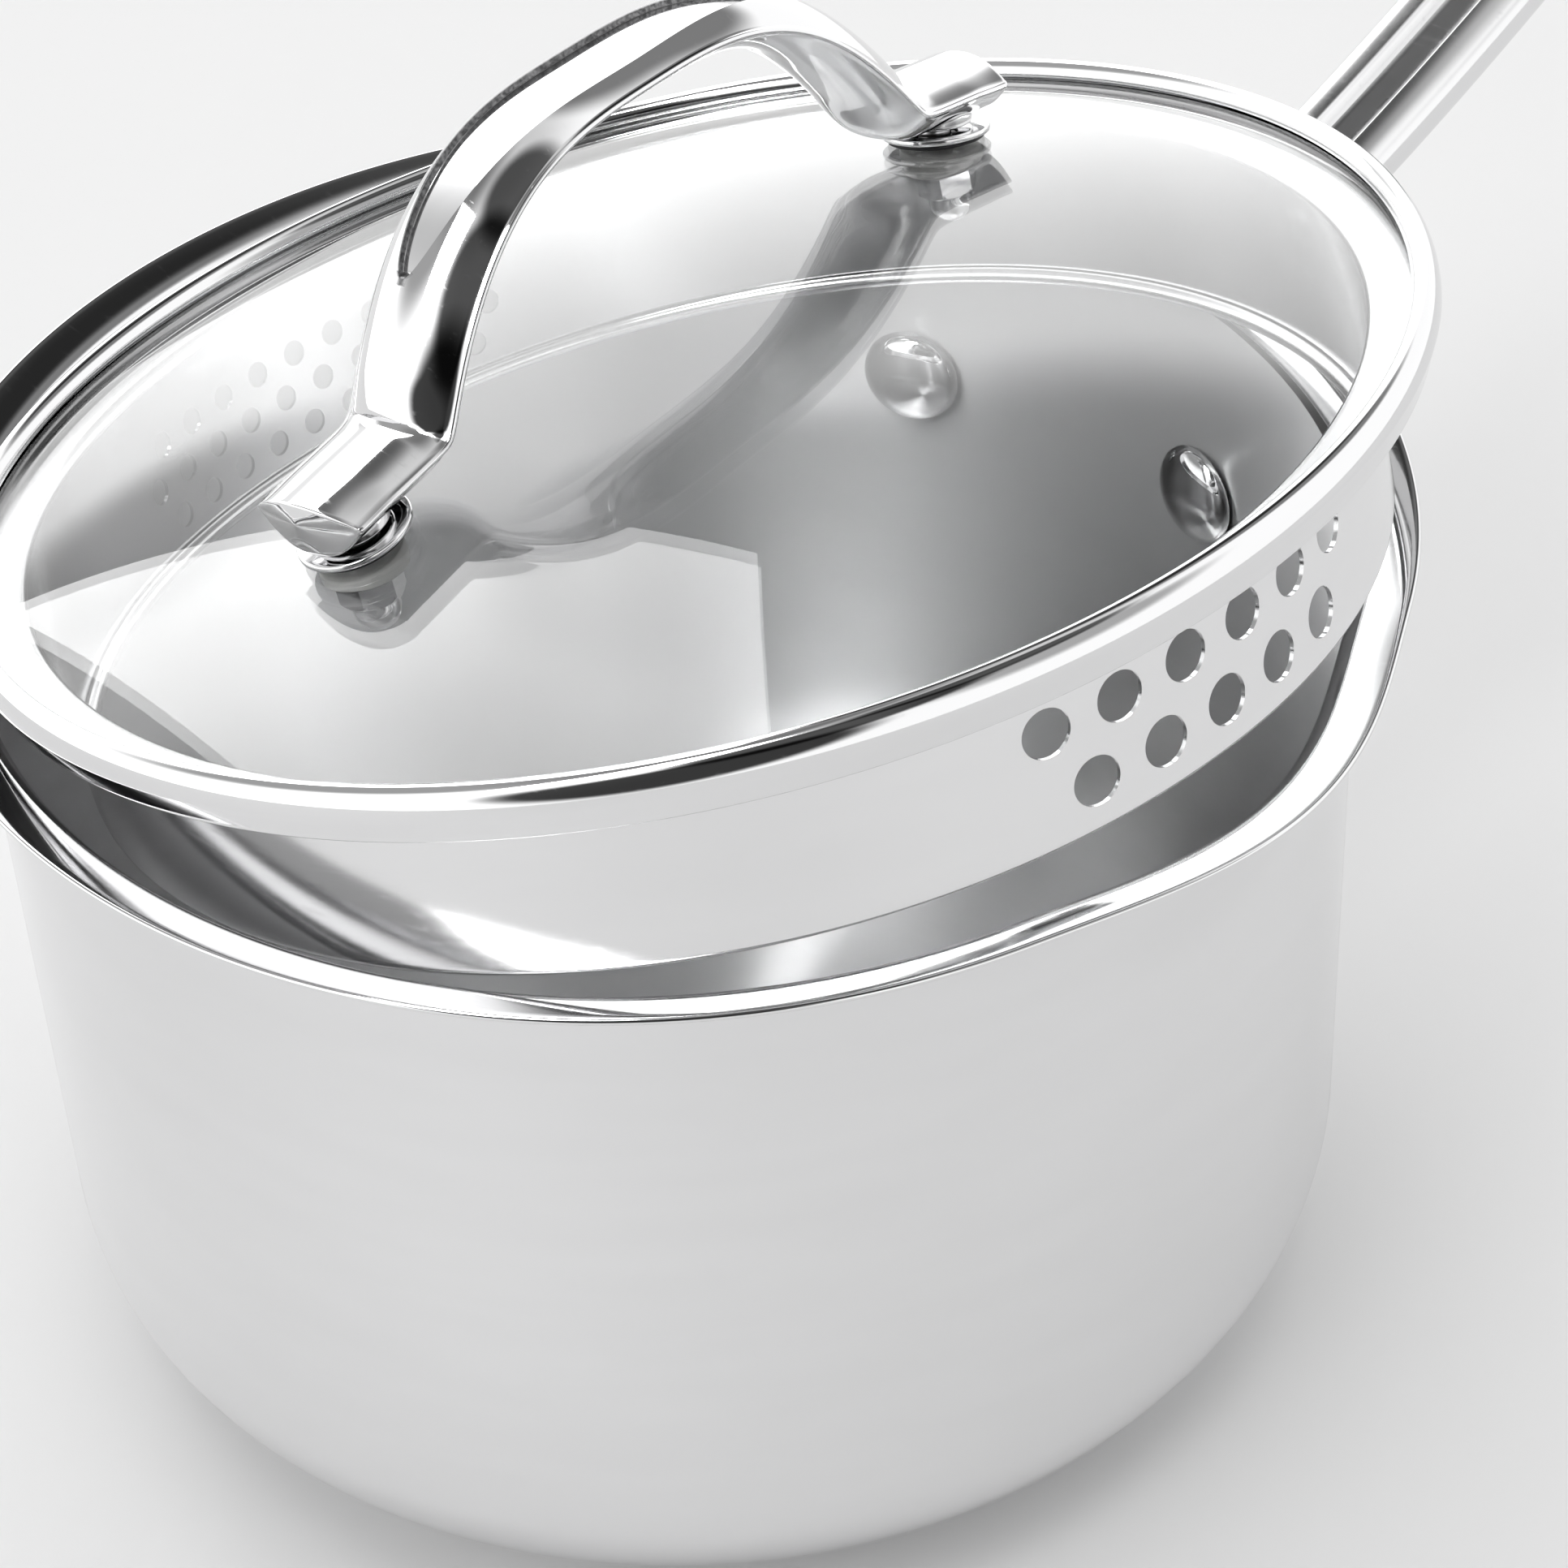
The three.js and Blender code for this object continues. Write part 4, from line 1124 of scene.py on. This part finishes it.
def turned_lines():
    """Fine lines that run round the upright axis: noise on the direction from the axis and the place along
    the profile, drawn out along the circle."""
    name = "Turned Lines"
    if name in bpy.data.node_groups:
        return bpy.data.node_groups[name]
    inputs = (("Along", 0.0), ("Fineness", 4000.0), ("Sweep", 2.0))
    tree, nodes, given, result = new_group(name, inputs, ("Lines", "Shade"))
    place = nodes.add("ShaderNodeTexCoord").outputs["Object"]
    flat = nodes.add("ShaderNodeVectorMath", {"operation": "MULTIPLY"})
    nodes.feed(flat, "0", place)
    flat.inputs[1].default_value = (1, 1, 0)
    way = nodes.add("ShaderNodeVectorMath", {"operation": "NORMALIZE"})
    nodes.feed(way, "0", flat.outputs[0])
    parts = nodes.add("ShaderNodeSeparateXYZ", None, Vector=way.outputs[0])
    sweep = given.outputs["Sweep"]
    spot = nodes.add(
        "ShaderNodeCombineXYZ", None,
        X=nodes.math("MULTIPLY", parts.outputs["X"], sweep),
        Y=nodes.math("MULTIPLY", parts.outputs["Y"], sweep),
        Z=nodes.math("MULTIPLY", given.outputs["Along"], given.outputs["Fineness"]),
    )
    fine = nodes.add(
        "ShaderNodeTexNoise", None, Vector=spot.outputs[0], Scale=1.0, Detail=3.0, Roughness=0.6
    )
    broad_sweep, broad_fineness = 3.0, 160.0
    broad_spot = nodes.add(
        "ShaderNodeCombineXYZ", None,
        X=nodes.math("MULTIPLY", parts.outputs["X"], broad_sweep),
        Y=nodes.math("MULTIPLY", parts.outputs["Y"], broad_sweep),
        Z=nodes.math("MULTIPLY", given.outputs["Along"], broad_fineness),
    )
    broad = nodes.add("ShaderNodeTexNoise", None, Vector=broad_spot.outputs[0], Scale=1.0, Detail=2.0)
    nodes.feed(result, "Lines", fine.outputs[0])
    nodes.feed(result, "Shade", broad.outputs[0])
    return tree


def handling_marks():
    """Soft smudges and fine hairline scratches: broad noise, and noise drawn out along one slanted way."""
    name = "Handling Marks"
    if name in bpy.data.node_groups:
        return bpy.data.node_groups[name]
    tree, nodes, given, result = new_group(name, (("Size", 40.0), ("Hairs", 900.0)), ("Smudge", "Scratch"))
    place = nodes.add("ShaderNodeTexCoord").outputs["Object"]
    smudge = nodes.add("ShaderNodeTexNoise", None, Vector=place, Scale=given.outputs["Size"], Detail=4.0)
    lean = nodes.add("ShaderNodeMapping", None, Vector=place)
    lean.inputs["Rotation"].default_value = (0.6, 0.4, 0.9)
    lean.inputs["Scale"].default_value = (1.0, 0.05, 1.0)
    hairs = nodes.add(
        "ShaderNodeTexNoise", None, Vector=lean.outputs[0], Scale=given.outputs["Hairs"], Detail=2.0
    )
    thin = nodes.add("ShaderNodeMapRange", None, Value=hairs.outputs[0], From_Min=0.62, From_Max=0.75)
    nodes.feed(result, "Smudge", smudge.outputs[0])
    nodes.feed(result, "Scratch", thin.outputs["Result"])
    return tree


def new_material(name):
    """A material with its nodes and its Principled shader, or with None for both where it was made before."""
    material = bpy.data.materials.get(name)
    if material:
        return material, None, None
    material = bpy.data.materials.new(name)
    material.use_nodes = True
    shader = material.node_tree.nodes["Principled BSDF"]
    return material, Nodes(material.node_tree), shader


def steel(name, colour_in, rough, lines, marks=(40.0, 900.0), anisotropic=0.0):
    """Bare steel. Lines give the fineness, sweep, depth and share of roughness of its turned or rolled lines,
    and marks the size of smudges and hairline scratches. Anisotropic steel draws highlights out across its
    lines."""
    material, nodes, shader = new_material(name)
    if nodes is None:
        return material
    fineness, sweep, depth, share = lines
    shader.inputs["Metallic"].default_value = 1.0
    along = nodes.add("ShaderNodeAttribute", {"attribute_name": "along"}).outputs["Fac"]
    turned = nodes.add(
        "ShaderNodeGroup", {"node_tree": turned_lines()}, Along=along, Fineness=fineness, Sweep=sweep
    )
    worn = nodes.add("ShaderNodeGroup", {"node_tree": handling_marks()}, Size=marks[0], Hairs=marks[1])
    dark = [channel * 0.97 for channel in colour_in]
    tone = nodes.blend(turned.outputs["Shade"], (*dark, 1), (*[min(1, c * 1.02) for c in colour_in], 1))
    nodes.feed(shader, "Base Color", tone)
    base = nodes.math("ADD", nodes.spread(turned.outputs["Lines"], -share, share), rough)
    smudged = nodes.math("ADD", base, nodes.spread(worn.outputs["Smudge"], -0.025, 0.035))
    scratched = nodes.math("ADD", smudged, nodes.spread(worn.outputs["Scratch"], 0.0, 0.06))
    nodes.feed(shader, "Roughness", nodes.math("MAXIMUM", scratched, 0.015))
    if depth:
        bump = nodes.add(
            "ShaderNodeBump", None, Strength=0.35, Distance=depth, Height=turned.outputs["Lines"]
        )
        nodes.feed(shader, "Normal", bump.outputs[0])
    if anisotropic:
        shader.inputs["Anisotropic"].default_value = anisotropic
        shader.inputs["Anisotropic Rotation"].default_value = 0.25
        tangent = nodes.add("ShaderNodeTangent", {"direction_type": "RADIAL", "axis": "Z"})
        nodes.feed(shader, "Tangent", tangent.outputs[0])
    return material


def outside_steel():
    """Smooth polished outside of the pot with a faint circular polish."""
    return steel("Pot Outside Steel", shade_of("steel"), 0.13, (2600.0, 1.6, 0.000002, 0.03))


def inside_steel():
    """Inside of the pot, brushed in circles."""
    lines = (3600.0, 2.4, 0.000004, 0.06)
    return steel("Pot Inside Steel", shade_of("brushed"), 0.46, lines, anisotropic=1.0)


def turned_steel():
    """Base plate with rings from the lathe."""
    return steel("Base Plate Steel", shade_of("steel"), 0.24, (1500.0, 0.6, 0.00002, 0.08))


def polished_steel():
    """Mirror polish with light wear, for the rim, rivets, washers and nuts."""
    return steel("Polished Steel", shade_of("steel"), 0.06, (2200.0, 1.2, 0.000001, 0.015))


def satin_steel():
    """Rolled sheet of the straining skirt."""
    return steel("Skirt Steel", shade_of("satin"), 0.16, (2400.0, 1.4, 0.000002, 0.03))


def cast_steel():
    """Long handle's casting, polished; its lines have no depth or roughness share, so they add no orange
    peel.
    """
    return steel("Handle Steel", shade_of("steel"), 0.16, (60.0, 1.0, 0.0, 0.0), marks=(120.0, 1400.0))


def thread_steel():
    """Stud with its fine thread lines."""
    return steel("Stud Steel", shade_of("steel"), 0.3, (7000.0, 0.2, 0.00005, 0.1))


def core_aluminium():
    """Rolled aluminium disc inside the base."""
    return steel("Core Aluminium", shade_of("aluminium"), 0.42, (400.0, 1.0, 0.0, 0.05))


def mirror_steel():
    """Lid handle's casting: mirror polish with a soft waviness, and a rough unpolished edge round the recess,
    painted near-black as shade.
    """
    material, nodes, shader = new_material("Lid Handle Steel")
    if nodes is None:
        return material
    shader.inputs["Metallic"].default_value = 1.0
    place = nodes.add("ShaderNodeTexCoord").outputs["Object"]
    edge = nodes.add("ShaderNodeAttribute", {"attribute_name": "along"}).outputs["Fac"]
    grit = nodes.add("ShaderNodeTexNoise", None, Vector=place, Scale=1500.0, Detail=3.0).outputs[0]
    # Painted shade: the recess mask darkens the colour to near-black where shade falls in the recess; it also
    # roughens and grains the unpolished wall.
    raw_and_shaded = nodes.math("MULTIPLY", edge, nodes.spread(grit, 0.5, 1.3))
    worn = nodes.add("ShaderNodeGroup", {"node_tree": handling_marks()}, Size=90.0, Hairs=1600.0)
    nodes.feed(shader, "Base Color", nodes.blend(raw_and_shaded, (*shade_of("steel"), 1), (*shade_of("cast"), 1)))
    smudged = nodes.spread(worn.outputs["Smudge"], 0.02, 0.06)
    rough = nodes.math("ADD", smudged, nodes.math("MULTIPLY", raw_and_shaded, 0.4))
    scratched = nodes.spread(worn.outputs["Scratch"], 0.0, 0.08)
    nodes.feed(shader, "Roughness", nodes.math("ADD", rough, scratched))
    wave = nodes.add("ShaderNodeTexNoise", None, Vector=place, Scale=140.0, Detail=1.0).outputs[0]
    height = nodes.math("ADD", nodes.math("MULTIPLY", wave, 0.5), nodes.math("MULTIPLY", raw_and_shaded, grit))
    bump = nodes.add("ShaderNodeBump", None, Strength=0.25, Distance=0.0001, Height=height)
    nodes.feed(shader, "Normal", bump.outputs[0])
    return material


def clear_glass():
    """Tempered glass with faint smears."""
    material, nodes, shader = new_material("Lid Glass")
    if nodes is None:
        return material
    shader.inputs["Transmission Weight"].default_value = 1.0
    shader.inputs["IOR"].default_value = 1.5
    worn = nodes.add("ShaderNodeGroup", {"node_tree": handling_marks()}, Size=22.0, Hairs=1200.0)
    tint = [channel * 0.97 for channel in shade_of("glass")]
    nodes.feed(shader, "Base Color", nodes.blend(worn.outputs["Smudge"], (*shade_of("glass"), 1), (*tint, 1)))
    nodes.feed(shader, "Roughness", nodes.spread(worn.outputs["Smudge"], 0.0, 0.012))
    return material


def soft_rubber():
    """Dark soft washer with a fine grain."""
    return soft("Gasket Rubber", shade_of("rubber"), 0.55, 900.0)


def pad_silicone():
    """Pale silicone pad."""
    return soft("Pad Silicone", shade_of("silicone"), 0.4, 600.0)


def soft(name, colour_in, rough, grain):
    """Moulded soft part: even colour with a fine grain in its tone, roughness and surface."""
    material, nodes, shader = new_material(name)
    if nodes is None:
        return material
    place = nodes.add("ShaderNodeTexCoord").outputs["Object"]
    speck = nodes.add("ShaderNodeTexNoise", None, Vector=place, Scale=grain, Detail=3.0).outputs[0]
    nodes.feed(shader, "Base Color", nodes.blend(speck, (*[c * 0.85 for c in colour_in], 1), (*colour_in, 1)))
    nodes.feed(shader, "Roughness", nodes.spread(speck, rough - 0.08, rough + 0.1))
    bump = nodes.add("ShaderNodeBump", None, Strength=0.3, Distance=0.00003, Height=speck)
    nodes.feed(shader, "Normal", bump.outputs[0])
    return material


def floor_board():
    """Pale studio floor with a barely visible mottle."""
    material, nodes, shader = new_material("Studio Floor")
    if nodes is None:
        return material
    place = nodes.add("ShaderNodeTexCoord").outputs["Object"]
    mottle = nodes.add("ShaderNodeTexNoise", None, Vector=place, Scale=6.0, Detail=4.0).outputs[0]
    pale = shade_of("floor")
    nodes.feed(shader, "Base Color", nodes.blend(mottle, (*[c * 0.985 for c in pale], 1), (*pale, 1)))
    nodes.feed(shader, "Roughness", nodes.spread(mottle, 0.6, 0.75))
    return material


def shade_of(name):
    """One of the finish colours."""
    return tuple(getattr(bpy.context.scene.finish_colours, name))


# Stage

def heading(azimuth, height):
    """Unit vector towards an azimuth from +X and a height over the floor, both in degrees."""
    turn, climb = math.radians(azimuth), math.radians(height)
    return Vector((math.cos(turn) * math.cos(climb), math.sin(turn) * math.cos(climb), math.sin(climb)))


def white_room(strength):
    """White room for light and reflections: one, times one plus a gain within each round patch, which fades
    out between two angles from the patch's middle. It has bright walls to the left and behind the pot, and
    dark gaps overhead, low behind the camera and high to the sides."""
    world = bpy.data.worlds.new("White Room")
    bpy.context.scene.world = world
    world.use_nodes = True
    nodes = Nodes(world.node_tree)
    back = world.node_tree.nodes["Background"]
    back.inputs["Color"].default_value = (1, 1, 1, 1)
    way = nodes.add("ShaderNodeTexCoord").outputs["Generated"]
    light = 1.0
    for azimuth, height, inner, outer, gain in (
        (130, 20, 45, 75, 0.4),
        (112, 58, 24, 40, -0.75),
        (0, 90, 12, 36, -0.4),
        (45, 12, 18, 30, 0.8),
        (69, 13, 4, 9, -0.6),
        (212, 18, 22, 32, -0.96),
        (230, 50, 16, 24, -0.92),
        (275, 40, 12, 28, -0.6),
        (275, 68, 13, 21, -0.88),
        (36, 46, 12, 21, -0.9),
        (10, 46, 14, 24, -0.8),
        (55, 38, 7, 11, -0.8),
    ):
        place = heading(azimuth, height)
        toward = nodes.add("ShaderNodeVectorMath", {"operation": "DOT_PRODUCT"})
        nodes.feed(toward, "0", way)
        toward.inputs[1].default_value = place
        fall = nodes.add(
            "ShaderNodeMapRange", {"interpolation_type": "SMOOTHSTEP"},
            Value=toward.outputs["Value"],
            From_Min=math.cos(math.radians(outer)), From_Max=math.cos(math.radians(inner)),
            To_Min=1.0, To_Max=1.0 + gain,
        )
        light = nodes.math("MULTIPLY", fall.outputs["Result"], light)
    nodes.feed(back, "Strength", nodes.math("MULTIPLY", light, strength))


def softbox(name, corner, first, second, brightness, onto="steel"):
    """Flat lamp with one corner and its two edges given, lit towards the pot. It shows in the steel and the
    glass, or else it only lights the floor."""
    first, second = Vector(first), Vector(second)
    lamp = bpy.data.lights.new(name, "AREA")
    lamp.shape = "RECTANGLE"
    lamp.size, lamp.size_y = first.length, second.length
    lamp.energy = brightness * math.pi * lamp.size * lamp.size_y
    right, up = first.normalized(), second.normalized()
    back = right.cross(up)
    middle = Vector(corner) + (first + second) / 2
    if back.dot(middle) < 0:
        right, up = up, right
        lamp.size, lamp.size_y = lamp.size_y, lamp.size
        back = -back
    turn = Matrix((right, up, back)).transposed().to_4x4()
    holder = bpy.data.objects.new(name, lamp)
    holder.matrix_world = Matrix.Translation(middle) @ turn
    holder.visible_diffuse = onto == "floor"
    holder.visible_glossy = onto == "steel"
    holder.visible_transmission = onto == "steel"
    bpy.context.scene.collection.objects.link(holder)


class StageOperator(Operator):
    """Make the floor, the light and the camera."""

    bl_idname = "straining_pot.stage"
    bl_label = "Stage"

    def execute(self, context):
        scene = context.scene
        studio = scene.studio_sizes
        floor_radius, floor_depth, far, lean = 0.9, 0.02, 5, 0.806
        reach = np.linspace(0, floor_radius, 25)
        profile = np.stack([np.concatenate([reach, reach[::-1]]), np.repeat([-floor_depth, 0.0], 25)], 1)
        floor = mesh_object("studio_floor", revolve(profile, 96))
        floor.data.materials.append(floor_board())
        white_room(studio.sky)
        corner = heading(54.3, 43) * far
        edge_down = Vector((-0.1097, 0.7825, -0.6129)) * far + lean * corner
        edge_over = Vector((-0.6108, -0.3668, 0.7017)) * far + lean * corner
        softbox("left_softbox", corner, 2.2 * edge_down, 1.6 * edge_over, studio.softbox)
        across, up = Vector((0, -1.5, 0)), Vector((0.866, 0, 0.5)) * 2.7
        middle = heading(180, 60) * far
        softbox("front_softbox", middle - (across + up) / 2, across, up, 3.4 * studio.softbox)
        softbox("floor_fill", (-1.2, -1.2, 3), (2.4, 0, 0), (0, 2.4, 0), studio.fill, "floor")
        camera = bpy.data.cameras.new("photo_camera")
        camera.lens = studio.lens
        camera.sensor_width = 36.0
        camera.clip_start = 0.01
        holder = bpy.data.objects.new("photo_camera", camera)
        look = Vector(studio.aim).to_track_quat("-Z", "Y").to_matrix().to_4x4()
        roll = Matrix.Rotation(studio.roll, 4, "Z")
        holder.matrix_world = Matrix.Translation(studio.eye) @ look @ roll
        scene.collection.objects.link(holder)
        scene.camera = holder
        scene.view_settings.view_transform = "Standard"
        return {"FINISHED"}


OPERATORS = (
    StageOperator,
    PotBodyOperator,
    BaseOperator,
    RivetsOperator,
    LongHandleOperator,
    RimOperator,
    SkirtOperator,
    GlassOperator,
    LidHandleOperator,
    FastenersOperator,
)


class StrainingPotPanel(Panel):
    """Sizes, colours and steps of the straining pot."""

    bl_idname = "VIEW3D_PT_straining_pot"
    bl_label = "Straining Pot"
    bl_space_type = "VIEW_3D"
    bl_region_type = "UI"
    bl_category = "Straining Pot"

    def draw(self, context):
        """One box of values for each group, then a button for each step."""
        for name in GROUPS:
            box = self.layout.box()
            group = getattr(context.scene, name)
            for key in group.bl_rna.properties.keys():
                if key not in ("rna_type", "name"):
                    box.prop(group, key)
        for step in OPERATORS:
            self.layout.operator(step.bl_idname)


def register():
    """Add the sizes, the steps and the panel."""
    for name, group in GROUPS.items():
        bpy.utils.register_class(group)
        setattr(bpy.types.Scene, name, PointerProperty(type=group))
    for made in (*OPERATORS, StrainingPotPanel):
        bpy.utils.register_class(made)


def unregister():
    """Take out what register added."""
    for made in reversed((*OPERATORS, StrainingPotPanel)):
        bpy.utils.unregister_class(made)
    for name, group in GROUPS.items():
        delattr(bpy.types.Scene, name)
        bpy.utils.unregister_class(group)


def main():
    """Build everything in order."""
    register()
    for step in OPERATORS:
        group, name = step.bl_idname.split(".")
        getattr(getattr(bpy.ops, group), name)()


if __name__ == "__main__":
    main()
